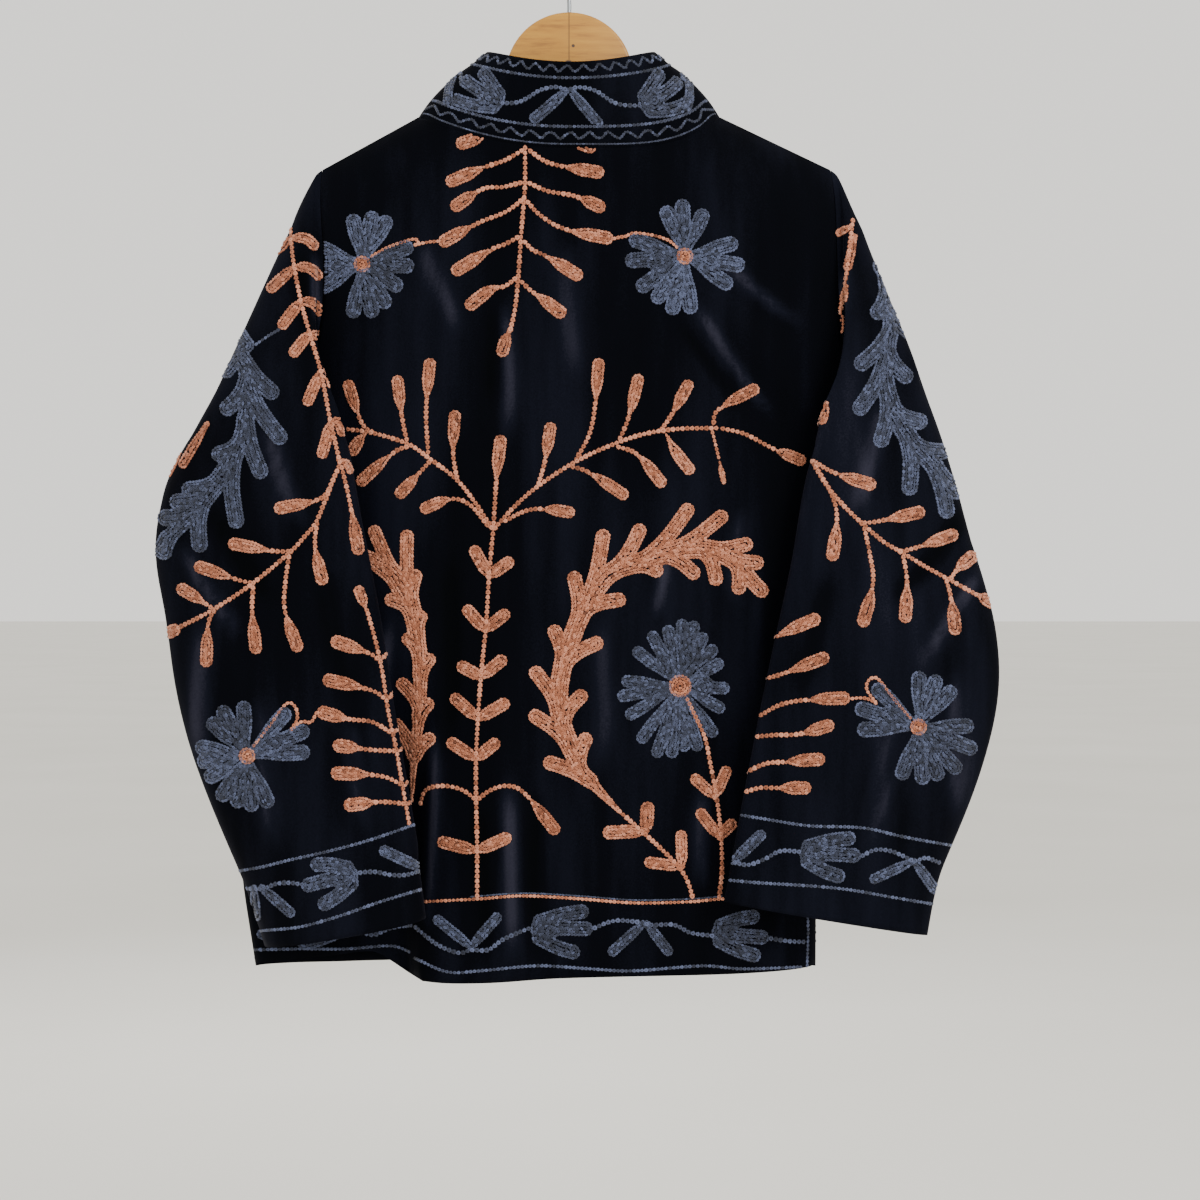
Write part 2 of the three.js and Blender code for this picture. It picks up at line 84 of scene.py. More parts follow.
def add_node(
    tree: Tree,
    kind: str,
    links: dict | None = None,
    stops: Sequence[tuple[float, str]] = (),
    **settings: object,
) -> bpy.types.Node:
    """Add a node with its settings and links.

    Args:
        tree: Node tree that takes the node.
        kind: Node type.
        links: Input names or numbers, each with a value or the output socket that feeds it.
        stops: Places and hex colours of a colour ramp, from low to high.
        settings: Properties of the node itself.

    Returns:
        The new node.
    """
    node = tree.nodes.new(kind)
    for name, value in settings.items():
        setattr(node, name, value)
    for name, value in (links or {}).items():
        if isinstance(value, bpy.types.NodeSocket):
            tree.links.new(value, node.inputs[name])
        else:
            node.inputs[name].default_value = value
    for _ in stops[2:]:
        node.color_ramp.elements.new(0.5)
    for k, (place, colour) in enumerate(stops):
        node.color_ramp.elements[k].position = place
        node.color_ramp.elements[k].color = linear(colour)
    return node


def new_material(name: str) -> tuple[bpy.types.Material, Tree, bpy.types.Node]:
    """Start a material that has one principled shader.

    Args:
        name: What the real material is.

    Returns:
        The material, its tree and the shader.
    """
    material = bpy.data.materials.new(name)
    material.use_nodes = True
    tree = material.node_tree
    tree.nodes.clear()
    shader = add_node(tree, "ShaderNodeBsdfPrincipled")
    add_node(tree, "ShaderNodeOutputMaterial", {"Surface": shader.outputs["BSDF"]})
    return material, tree, shader


def deselect_all() -> None:
    """Leave object mode clean, with nothing selected."""
    if bpy.context.mode != "OBJECT":
        bpy.ops.object.mode_set(mode="OBJECT")
    bpy.ops.object.select_all(action="DESELECT")


def evenly(points: np.ndarray, step: float) -> np.ndarray:
    """Space the points of a line evenly.

    Args:
        points: The line, one row each.
        step: Distance between the new points.

    Returns:
        The same line with even steps.
    """
    run = np.concatenate([[0], np.cumsum(np.linalg.norm(np.diff(points, axis=0), axis=1))])
    at = np.linspace(0, run[-1], max(2, int(round(run[-1] / step)) + 1))
    return np.stack([np.interp(at, run, points[:, k]) for k in (0, 1)], axis=1)


def curve_through(points: Path2, step: float = 1.3) -> np.ndarray:
    """Run a smooth line through points of the flat chart.

    Args:
        points: The points, two or more.
        step: Distance between the line's own points, in chart units.

    Returns:
        Evenly spaced points, one row each.
    """
    p = np.array(points, float)
    if len(p) > 2:
        ends = np.vstack([2 * p[0] - p[1], p, 2 * p[-1] - p[-2]])
        t = np.linspace(0, 1, 9)[:-1, None]
        pieces = []
        for a, b, c, d in zip(ends, ends[1:], ends[2:], ends[3:]):
            pieces.append(
                0.5 * (2 * b + (c - a) * t + (2 * a - 5 * b + 4 * c - d) * t**2 + (3 * b - a - 3 * c + d) * t**3)
            )
        p = np.vstack([*pieces, p[-1:]])
    return evenly(p, step)


# ---------------------------------------------------------------- finishes


@dataclass(frozen=True)
class CottonVelvet:
    """Blue-black cotton velvet: a short cut pile, near black, with a lilac grey sheen painted into its colour on crease
    ridges, on the better lit sleeves and, partly, along random bands where the pile lies differently.
    """

    # The two lightest colours are painted sheen; the darkest is partly painted shade in crease troughs.
    deep_and_painted_shade: str = "#010204"
    plain: str = "#030409"
    painted_half_sheen: str = "#0D0F19"
    painted_sheen: str = "#2A2A36"
    sheen_tint: str = "#9C98B0"
    sheen: float = 0.045
    roughness: float = 0.82
    streak_mm: float = 46.0  # width of the bands in which the pile lies one way
    crush_mm: float = 8.0
    pile_mm: float = 1.3  # pile tufts are finer, and are drawn this coarse to show
    band_swing: tuple[float, float] = (-0.2, 0.22)  # how far a band lays the pile down or lifts it
    tuft_swing: tuple[float, float] = (-0.05, 0.07)
    ior: float = 1.45
    specular: float = 0.04
    sheen_roughness: float = 0.4

    def material(self) -> bpy.types.Material:
        """Make the velvet; an attribute of painted light makes it lighter on crease ridges and on the better lit
        sleeves, as painted sheen, and darker in crease troughs, as painted shade.

        Returns:
            The material.
        """
        # Woven cotton with a cut pile looks near black head on. Its lilac grey is a sheen painted into the colour on
        # crease ridges and the better lit sleeves; along random bands it is partly real pile that lies differently and
        # partly painted sheen; crease troughs get painted shade.
        made, tree, shader = new_material("cotton velvet, blue-black pile")
        place = add_node(tree, "ShaderNodeTexCoord").outputs["Object"]
        down = add_node(tree, "ShaderNodeMapping", {"Vector": place, "Scale": (1, 1, 0.14)})
        painted_light = add_node(tree, "ShaderNodeAttribute", attribute_name="painted_light")
        bands, crush, tufts = (
            add_node(
                tree,
                "ShaderNodeTexNoise",
                {"Vector": vector, "Scale": 1 / (size * MM), "Detail": 3.0, "Roughness": 0.55},
            ).outputs["Fac"]
            for vector, size in (
                (down.outputs["Vector"], self.streak_mm),
                (down.outputs["Vector"], self.crush_mm),
                (place, self.pile_mm),
            )
        )
        pile_and_painted_light = painted_light.outputs["Fac"]
        for noise, (low, high) in ((bands, self.band_swing), (tufts, self.tuft_swing)):
            swing = add_node(
                tree,
                "ShaderNodeMapRange",
                {"Value": noise, "From Min": 0.3, "From Max": 0.7, "To Min": low, "To Max": high},
            )
            pile_and_painted_light = add_node(
                tree, "ShaderNodeMath", {0: pile_and_painted_light, 1: swing.outputs[0]}, operation="ADD"
            ).outputs[0]
        # Painted light: the ramp runs from painted shade through the plain pile to a painted sheen.
        colour = add_node(
            tree,
            "ShaderNodeValToRGB",
            {"Fac": pile_and_painted_light},
            stops=((0.0, self.deep_and_painted_shade), (0.35, self.plain), (0.62, self.painted_half_sheen), (1.0, self.painted_sheen)),
        )
        coarse = add_node(tree, "ShaderNodeBump", {"Height": crush, "Strength": 0.35, "Distance": 0.8 * MM})
        bump = add_node(
            tree,
            "ShaderNodeBump",
            {"Height": tufts, "Strength": 0.5, "Distance": 0.25 * MM, "Normal": coarse.outputs["Normal"]},
        )
        tree.links.new(colour.outputs["Color"], shader.inputs["Base Color"])
        tree.links.new(bump.outputs["Normal"], shader.inputs["Normal"])
        shader.inputs["Roughness"].default_value = self.roughness
        shader.inputs["IOR"].default_value = self.ior
        shader.inputs["Specular IOR Level"].default_value = self.specular
        shader.inputs["Sheen Weight"].default_value = self.sheen
        shader.inputs["Sheen Roughness"].default_value = self.sheen_roughness
        shader.inputs["Sheen Tint"].default_value = linear(self.sheen_tint)
        return made


@dataclass(frozen=True)
class WoolThread:
    """Soft matt embroidery thread, whose dye takes unevenly from one stitch to the next."""

    name: str
    dark: str
    middle: str
    light: str
    twist_mm: float = 0.9

    def material(self) -> bpy.types.Material:
        """Make the thread; each stitch takes its own random tone with painted shade and a painted highlight, and its
        strands are twisted.

        Returns:
            The material.
        """
        # Dyed, loosely spun thread: matt and slightly hairy. Each link is painted darker where it dives into the cloth
        # and in its middle, as painted shade, and lighter on its crest, as a painted highlight, so that a filled leaf
        # looks grainy.
        made, tree, shader = new_material(f"matt embroidery thread, {self.name}")
        shade = add_node(tree, "ShaderNodeAttribute", attribute_name="shade")
        colour = add_node(
            tree,
            "ShaderNodeValToRGB",
            {"Fac": shade.outputs["Fac"]},
            stops=((0.0, self.dark), (0.5, self.middle), (1.0, self.light)),
        )
        along = add_node(tree, "ShaderNodeUVMap", uv_map="strand")
        strands = add_node(
            tree,
            "ShaderNodeTexWave",
            {"Vector": along.outputs["UV"], "Scale": 0.3 / self.twist_mm, "Distortion": 0.6},
            wave_type="BANDS",
            bands_direction="DIAGONAL",
        )
        bump = add_node(
            tree,
            "ShaderNodeBump",
            {"Height": strands.outputs["Fac"], "Strength": 0.4, "Distance": 0.2 * MM},
        )
        tree.links.new(colour.outputs["Color"], shader.inputs["Base Color"])
        tree.links.new(bump.outputs["Normal"], shader.inputs["Normal"])
        shader.inputs["Roughness"].default_value = 0.82
        shader.inputs["Specular IOR Level"].default_value = 0.2
        shader.inputs["Sheen Weight"].default_value = 0.25
        shader.inputs["Sheen Roughness"].default_value = 0.5
        return made


@dataclass(frozen=True)
class LacqueredBeech:
    """Planed beech under clear lacquer, jointed on its centre line, with two small knots."""

    pale: str = "#BE8724"
    honey: str = "#AD761C"
    vein: str = "#885616"
    knot: str = "#3A2413"
    grain_mm: float = 5.0

    def material(self) -> bpy.types.Material:
        """Make the wood; the grain runs along the arms.

        Returns:
            The material.
        """
        # Planed beech under a thin clear lacquer: warm honey with fine brown flecks along the grain, a dark
        # joint line down the middle, two small knots, and a soft gleam.
        made, tree, shader = new_material("lacquered beech")
        place = add_node(tree, "ShaderNodeTexCoord").outputs["Object"]
        along = add_node(tree, "ShaderNodeMapping", {"Vector": place, "Scale": (0.12, 1, 1)})
        grain = add_node(
            tree,
            "ShaderNodeTexNoise",
            {"Vector": along.outputs["Vector"], "Scale": 1 / (self.grain_mm * MM), "Detail": 6.0, "Roughness": 0.6},
        )
        colour = add_node(
            tree,
            "ShaderNodeValToRGB",
            {"Fac": grain.outputs["Fac"]},
            stops=((0.3, self.vein), (0.45, self.honey), (0.7, self.pale)),
        )
        apart = add_node(tree, "ShaderNodeSeparateXYZ", {"Vector": place})
        aside = add_node(tree, "ShaderNodeMath", {0: apart.outputs["X"]}, operation="ABSOLUTE")
        joint = add_node(
            tree,
            "ShaderNodeMapRange",
            {"Value": aside.outputs[0], "From Min": 0.0003, "From Max": 0.0009, "To Min": 0.55, "To Max": 0.0},
        )
        near = joint.outputs[0]
        for x, z, radius in ((0.5, -104.0, 4.2), (-3.5, -88.5, 1.6)):
            off = add_node(
                tree,
                "ShaderNodeVectorMath",
                {0: place, 1: (x * MM, 5.5 * MM, z * MM)},
                operation="DISTANCE",
            )
            spot = add_node(
                tree,
                "ShaderNodeMapRange",
                {
                    "Value": off.outputs["Value"],
                    "From Min": radius * MM * 0.7,
                    "From Max": radius * MM,
                    "To Min": 1.0,
                    "To Max": 0.0,
                },
            )
            near = add_node(tree, "ShaderNodeMath", {0: near, 1: spot.outputs[0]}, operation="MAXIMUM").outputs[0]
        dark = add_node(
            tree,
            "ShaderNodeMix",
            {"Factor": near, 6: colour.outputs["Color"], 7: linear(self.knot)},
            data_type="RGBA",
        )
        bump = add_node(
            tree,
            "ShaderNodeBump",
            {"Height": grain.outputs["Fac"], "Strength": 0.15, "Distance": 0.2 * MM},
        )
        tree.links.new(dark.outputs[2], shader.inputs["Base Color"])
        tree.links.new(bump.outputs["Normal"], shader.inputs["Normal"])
        shader.inputs["Roughness"].default_value = 0.42
        shader.inputs["Coat Weight"].default_value = 0.25
        shader.inputs["Coat Roughness"].default_value = 0.3
        return made


@dataclass(frozen=True)
class DrawnSteel:
    """Bright drawn steel wire, dulled a little by handling."""

    colour: str = "#8F9294"

    def material(self) -> bpy.types.Material:
        """Make the wire, with small marks in its gloss.

        Returns:
            The material.
        """
        # Wire drawn through a die: a bright grey gleam, broken by small dull marks.
        made, tree, shader = new_material("drawn steel wire")
        place = add_node(tree, "ShaderNodeTexCoord").outputs["Object"]
        marks = add_node(tree, "ShaderNodeTexNoise", {"Vector": place, "Scale": 900.0, "Detail": 3.0})
        rough = add_node(
            tree,
            "ShaderNodeMapRange",
            {"Value": marks.outputs["Fac"], "To Min": 0.22, "To Max": 0.42},
        )
        tree.links.new(rough.outputs[0], shader.inputs["Roughness"])
        shader.inputs["Base Color"].default_value = linear(self.colour)
        shader.inputs["Metallic"].default_value = 1.0
        return made


@dataclass(frozen=True)
class PaleFloor:
    """Matt off-white studio floor."""

    colour: str = "#E4E2DC"
    shaded: str = "#DFDDD6"

    def material(self) -> bpy.types.Material:
        """Make the floor's paint, with a faint unevenness.

        Returns:
            The material.
        """
        # Rolled matt paint: off-white without gloss, a little cloudy.
        made, tree, shader = new_material("matt floor paint")
        place = add_node(tree, "ShaderNodeTexCoord").outputs["Object"]
        cloudy = add_node(tree, "ShaderNodeTexNoise", {"Vector": place, "Scale": 1.2, "Detail": 3.0})
        colour = add_node(
            tree,
            "ShaderNodeValToRGB",
            {"Fac": cloudy.outputs["Fac"]},
            stops=((0.3, self.shaded), (0.7, self.colour)),
        )
        tree.links.new(colour.outputs["Color"], shader.inputs["Base Color"])
        shader.inputs["Roughness"].default_value = 0.9
        return made


class Thread(Enum):
    """The two thread colours."""

    COPPER = WoolThread("copper", dark="#401F13", middle="#AE6A4C", light="#DC9A7E")
    SLATE = WoolThread("slate", dark="#0E1017", middle="#363B4D", light="#606989")


# ---------------------------------------------------------------- cloth


@dataclass(frozen=True)
class Crease:
    """A soft trough or ridge, from one end to the other, in millimetres of the jacket's frame."""

    x1: float
    z1: float
    x2: float
    z2: float
    width: float
    height: float

    def lift(self, x: np.ndarray, z: np.ndarray) -> np.ndarray:
        """How far the cloth is moved at each place.

        Args:
            x: Places across, in millimetres.
            z: Places up, in millimetres.

        Returns:
            Heights in millimetres.
        """
        dx, dz = self.x2 - self.x1, self.z2 - self.z1
        length = math.hypot(dx, dz)
        along = ((x - self.x1) * dx + (z - self.z1) * dz) / length**2
        aside = ((x - self.x1) * dz - (z - self.z1) * dx) / length
        sway = 0.35 * self.width * np.sin(along * 5.0 + self.x1)
        ends = np.clip(along * 4, 0, 1) * np.clip((1 - along) * 3, 0, 1)
        ends = ends * ends * (3 - 2 * ends)
        return self.height * ends * np.exp(-(((aside + sway) / self.width) ** 2))


def creases(rows: Iterable[Sequence[float]]) -> tuple[Crease, ...]:
    """Turn rows of numbers into creases."""
    return tuple(Crease(*row) for row in rows)


@dataclass
class ClothPiece:
    """One cut piece of velvet, as a thin shell on the form of its solid."""

    node: str
    flat: tuple[float, float]
    area: float | None
    folds: tuple[Crease, ...]
    painted_light: float = 0.34  # base level of painted light; the better lit sleeves are set higher
    fade: float = 0.0  # millimetres in from its side seams over which creases die out
    seam: tuple[float, float] | None = None  # rims below this height drop by this much, to close a seam
    levels: int = 2
    quad_pull: float = 2.0  # how strongly triangles pair up into a regular grid
    rim_angle: float = 50.0
    shell: Mesh | None = field(default=None, repr=False)
    tree: BVHTree | None = field(default=None, repr=False)

    def build(self, source: Mesh, velvet: bpy.types.Material) -> Mesh:
        """Args:
            source: The solid that it replaces.
            velvet: The cloth's finish.

        Returns:
            The finished shell.
        """
        shell = self._smooth_copy(source)
        self._crease(shell)
        for polygon in shell.data.polygons:
            polygon.use_smooth = True
        deselect_all()
        shell.select_set(True)
        bpy.context.view_layer.objects.active = shell
        bpy.ops.object.shade_smooth_by_angle(angle=math.radians(self.rim_angle))
        shell.data.materials.append(velvet)
        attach(shell, "root")
        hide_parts(self.node)
        self.shell = shell
        mesh = shell.data
        points = np.empty(len(mesh.vertices) * 3)
        mesh.vertices.foreach_get("co", points)
        faces = [tuple(polygon.vertices) for polygon in mesh.polygons]
        self.tree = BVHTree.FromPolygons([tuple(p) for p in points.reshape(-1, 3)], faces)
        return shell

    def _smooth_copy(self, source: Mesh) -> Mesh:
        """Copy the solid as a grid of quads and round it, with its rims kept sharp.

        Args:
            source: The solid.

        Returns:
            The smooth shell.
        """
        mesh = source.data.copy()
        mesh.name = f"velvet_{self.node}"
        mesh.materials.clear()
        shell = bpy.data.objects.new(f"velvet_{self.node}", mesh)
        bpy.context.scene.collection.objects.link(shell)
        grid = bmesh.new()
        grid.from_mesh(mesh)
        bmesh.ops.remove_doubles(grid, verts=grid.verts, dist=1e-6)
        bmesh.ops.join_triangles(
            grid,
            faces=grid.faces,
            angle_face_threshold=math.pi,
            angle_shape_threshold=math.pi,
            topology_influence=self.quad_pull,
        )
        pull = grid.edges.layers.float.get("crease_edge") or grid.edges.layers.float.new("crease_edge")
        for edge in grid.edges:
            sharp = len(edge.link_faces) == 2 and edge.calc_face_angle(0) > math.radians(self.rim_angle)
            edge[pull] = 1.0 if sharp else 0.0
        if self.seam is not None:
            rims = {vertex for edge in grid.edges if edge[pull] > 0 for vertex in edge.verts}
            for vertex in rims:
                if vertex.co.z < self.seam[0] * MM:
                    vertex.co.z -= self.seam[1] * MM
        grid.to_mesh(mesh)
        grid.free()
        for layer in list(mesh.uv_layers):
            mesh.uv_layers.remove(layer)
        rounding = shell.modifiers.new("rounding", "SUBSURF")
        rounding.levels = rounding.render_levels = self.levels
        deselect_all()
        shell.select_set(True)
        bpy.context.view_layer.objects.active = shell
        bpy.ops.object.modifier_apply(modifier=rounding.name)
        return shell

    def _crease(self, shell: Mesh) -> None:
        """Move the cloth in and out along its creases, both of its faces together, and paint light on its ridges and
        shade in its troughs.

        Args:
            shell: The smooth shell.
        """
        count = len(shell.data.vertices)
        points = np.empty(count * 3)
        shell.data.vertices.foreach_get("co", points)
        points = points.reshape(-1, 3)
        x, z = points[:, 0] / MM, points[:, 2] / MM
        lift = sum((fold.lift(x, z) for fold in self.folds), np.zeros(count))
        if self.fade:
            lift *= np.clip(np.abs(points[:, 1]) / (self.fade * MM), 0, 1)
        points[:, 1] += lift * MM
        # Painted light: ridges are painted lighter, as sheen, and troughs darker, as shade, over the piece's base
        # level; on the fronts the outside faces the other way.
        outwards = -1 if self.node.startswith("front") else 1
        painted_light = self.painted_light + 0.21 * outwards * lift
        shell.data.vertices.foreach_set("co", points.ravel())
        shell.data.attributes.new("painted_light", "FLOAT", "POINT").data.foreach_set("value", painted_light)
        shell.data.update()


# ---------------------------------------------------------------- embroidery


class Face(Enum):
    """The side from which a pattern is laid on the cloth."""

    BACK = "back"
    FRONT = "front"


@dataclass(frozen=True)
class Chart:
    """The flat chart of the pattern: across and down, one unit being 0.82 mm on the jacket."""

    unit: float = 0.82 * MM
    across: float = 568.5
    down: float = -71.2
    plane: float = 0.035
    eye: tuple[float, float, float] = (-0.0258, 1.9, -0.5504)

    def ray(self, u: float, v: float, face: Face) -> tuple[Vector, Vector]:
        """The line along which a chart place meets the cloth.

        Args:
            u: Place across.
            v: Place down.
            face: Side of the jacket.

        Returns:
            Start and direction.
        """
        x, z = -(u - self.across) * self.unit, -(v - self.down) * self.unit
        if face is Face.FRONT:
            return Vector((x, -0.6, z)), Vector((0, 1, 0))
        start = Vector(self.eye)
        return start, (Vector((x, self.plane, z)) - start).normalized()


CHART = Chart()


@dataclass
class FlatBed:
    """Lays chart places on one cloth piece, seen square on."""

    cloth: ClothPiece
    face: Face = Face.BACK
    mirror: bool = False
    shallow: float = 0.14  # cloth that turns further away than this takes no stitch
    unit: float = CHART.unit

    def place(self, u: float, v: float) -> tuple[Vector, Vector] | None:
        """Find the cloth under a chart place.

        Args:
            u: Place across.
            v: Place down.

        Returns:
            The place and the cloth's normal, or nothing where there is no cloth.
        """
        if self.mirror:
            u = 2 * CHART.across - u
        start, way = CHART.ray(u, v, self.face)
        hit, normal, _, _ = self.cloth.tree.ray_cast(start, way)
        if hit is None or -normal.dot(way) < self.shallow:
            return None
        return hit, normal


@dataclass
class CollarBed:
    """Lays places on the stand collar: across along its middle, up from its seam."""

    cloth: ClothPiece
    neck_half_width: float = 126.0
    neck_side: float = -147.0
    centre: float = -6.0
    half_shoulder: float = 212.0
    lift: float = 1.4
    belly: float = 5.0
    round_share: float = 0.985
    height: float = 70.0
    unit: float = MM

    def __post_init__(self) -> None:
        """Measure the collar's middle line, so that places across are real lengths."""
        turns = np.linspace(-math.pi, math.pi, 721) * self.round_share
        line = np.array([self._point(t, 0.5) for t in turns])
        run = np.concatenate([[0], np.cumsum(np.linalg.norm(np.diff(line, axis=0), axis=1))])
        self.turns = turns
        self.run = run - np.interp(0.0, turns, run)

    def _seam(self, turn: float) -> tuple[float, float, float]:
        """Follow the neck seam.

        Args:
            turn: Angle round the neck, 0 at the centre back.

        Returns:
            Across, along and up, in millimetres.
        """
        step = (turn / self.round_share + math.pi) / (2 * math.pi) * 40
        left = math.acos((self.neck_half_width - self.centre) / self.half_shoulder) / math.pi
        right = math.acos((-self.neck_half_width - self.centre) / self.half_shoulder) / math.pi
        share = np.interp(step, [0, 10, 20, 30, 40], [0.494, left, 0.5, right, 0.506])
        x = self.centre + self.half_shoulder * math.cos(math.pi * share)
        out = min(abs(x) / self.neck_half_width, 1.0)
        behind = 10 <= step <= 30
        if behind:
            drop, power, depth = 32.0, (2.1 if x > 0 else 4.0), 34.0
        else:
            drop, power, depth = 66.0, 2.0, -30.0
        return x, depth * math.sqrt(1 - out**2), self.neck_side - drop * (1 - out**power)

    def _point(self, turn: float, height: float) -> tuple[float, float, float]:
        """Follow the collar's outside.

        Args:
            turn: Angle round the neck, 0 at the centre back.
            height: Share of its height, 0 at the seam.

        Returns:
            Across, along and up, in millimetres.
        """
        x, y, z = self._seam(turn)
        end = -107.0 if math.cos(turn) > 0 else -119.0
        side = math.sin(turn) ** 2
        top = (-1.5 - 71.0 * math.sin(turn), 28.0 * math.cos(turn), end * (1 - side) - 93.0 * side)
        bow = self.belly * 4 * height * (1 - height)
        return (
            x + (top[0] - x) * height - bow * math.sin(turn),
            y + (top[1] - y) * height,
            z + (top[2] - z) * height + self.lift * (1 - height),
        )

    def place(self, u: float, v: float) -> tuple[Vector, Vector] | None:
        """Find the collar's outside.

        Args:
            u: Millimetres along it from the centre back, towards the wearer's left.
            v: Millimetres up from its seam, on its full height.

        Returns:
            The place and the cloth's normal, or nothing past its ends.
        """
        if not self.run[0] < -u < self.run[-1]:
            return None
        turn = float(np.interp(-u, self.run, self.turns))
        spot = Vector(self._point(turn, v / self.height)) * MM
        out = Vector((spot.x, spot.y, 0)).normalized()
        hit, normal, _, _ = self.cloth.tree.ray_cast(spot + out * 0.012, -out)
        if hit is None:
            return None
        return hit, normal


Bed = FlatBed | CollarBed


@dataclass(frozen=True)
class Gauge:
    """Size of one chain link, in millimetres, and how much thread clearance a link keeps."""

    width: float
    pitch: float
    height: float
    keep: float
    overlap: float = 1.4


STEM = Gauge(width=4.5, pitch=4.0, height=1.3, keep=0.0, overlap=1.3)
FINE_STEM = Gauge(width=3.3, pitch=3.3, height=1.05, keep=0.0, overlap=1.3)
FILL = Gauge(width=2.65, pitch=3.05, height=1.15, keep=1.55)
INFILL = Gauge(width=2.35, pitch=2.8, height=0.9, keep=1.2)
HAIR = Gauge(width=1.7, pitch=2.6, height=0.6, keep=0.0)
RIM = Gauge(width=2.7, pitch=2.9, height=1.1, keep=1.2)
RULE = Gauge(width=3.2, pitch=3.3, height=0.95, keep=0.0, overlap=1.3)
ZIGZAG = Gauge(width=2.8, pitch=2.3, height=0.9, keep=0.0, overlap=1.3)
ROW_GAP = 2.15  # millimetres from one row of filling to the next


@dataclass(frozen=True)
class Stroke:
    """A line of the pattern with half its width at each of its places, in chart units."""

    line: np.ndarray
    half: np.ndarray


def tapered(points: Path2, width: float, root: float = 0.3, full: float = 0.62) -> Stroke:
    """A stroke that is narrow at its root and round at its tip.

    Args:
        points: Chart places from root to tip.
        width: Width where it is fullest.
        root: Share of that width at the root.
        full: Share of the length at which it is fullest.

    Returns:
        The stroke.
    """
    line = curve_through(points)
    far = np.linalg.norm(line - line[-1], axis=1) > 0.5 * width
    line = line[: max(2, int(far.sum()) + 1)]
    rise = np.clip(np.linspace(0, 1, len(line)) / full, 0, 1)
    return Stroke(line, 0.5 * width * (root + (1 - root) * rise * rise * (3 - 2 * rise)))


class Shape:
    """Strokes that run into one another, as depths on a fine grid: below zero is inside."""

    def __init__(self, strokes: Sequence[Stroke], cell: float = 0.9, melt: float = 1.1) -> None:
        """Measure the depths.

        Args:
            strokes: What the shape is made of.
            cell: Size of the grid's cells.
            melt: How far strokes flow together where they meet.
        """
        every = np.vstack([stroke.line for stroke in strokes])
        margin = max(float(stroke.half.max()) for stroke in strokes) + 3
        self.cell = cell
        self.low = every.min(axis=0) - margin
        size = np.ceil((every.max(axis=0) + margin - self.low) / cell).astype(int) + 1
        u = (self.low[0] + cell * np.arange(size[0]))[:, None]
        v = (self.low[1] + cell * np.arange(size[1]))[None, :]
        total = np.zeros(size)
        nearest = np.full(size, np.inf)
        self.way = np.zeros((*size, 2))
        for stroke in strokes:
            ways = np.gradient(stroke.line, axis=0) if len(stroke.line) > 1 else np.array([[1.0, 0.0]])
            best = np.full(size, np.inf)
            picks = [*range(0, len(stroke.line), 2), len(stroke.line) - 1]
            for k in picks:
                depth = np.hypot(u - stroke.line[k][0], v - stroke.line[k][1]) - stroke.half[k]
                closer = depth < nearest
                self.way[closer] = ways[k]
                nearest[closer] = depth[closer]
                np.minimum(best, depth, out=best)
            total += np.exp(-best / melt)
        self.depth = -melt * np.log(total)
        slope = np.stack(np.gradient(self.depth, cell), axis=-1)
        self.steep = np.linalg.norm(slope, axis=-1)
        self.trend = np.stack([-slope[..., 1], slope[..., 0]], axis=-1) / np.maximum(self.steep, 1e-6)[..., None]

    def rings(self, level: float) -> list[np.ndarray]:
        """Follow one depth round the shape.

        Args:
            level: The depth.

        Returns:
            Closed lines in chart units.
        """
        field_ = self.depth - level
        inside = field_ < 0
        corner_sum = (
            inside[:-1, :-1].astype(int) + inside[1:, :-1].astype(int) + inside[1:, 1:].astype(int) + inside[:-1, 1:]
        )
        joins: dict[tuple, list[tuple]] = {}
        places: dict[tuple, np.ndarray] = {}
        for i, j in np.argwhere((corner_sum > 0) & (corner_sum < 4)):
            corners = ((i, j), (i + 1, j), (i + 1, j + 1), (i, j + 1))
            marks = []
            for a, b in zip(corners, corners[1:] + corners[:1]):
                if inside[a] != inside[b]:
                    key = (min(a, b), max(a, b))
                    share = field_[key[0]] / (field_[key[0]] - field_[key[1]])
                    places[key] = self.low + self.cell * (np.array(key[0]) * (1 - share) + np.array(key[1]) * share)
                    marks.append(key)
            for one, two in zip(marks[::2], marks[1::2]):
                joins.setdefault(one, []).append(two)
                joins.setdefault(two, []).append(one)
        lines = []
        while joins:
            here = next(iter(joins))
            line = [places[here]]
            while joins.get(here):
                ahead = joins[here].pop()
                joins[ahead].remove(here)
                if not joins[here]:
                    del joins[here]
                line.append(places[ahead])
                here = ahead
            joins.pop(here, None)
            if len(line) > 4:
                lines.append(np.array(line))
        return lines


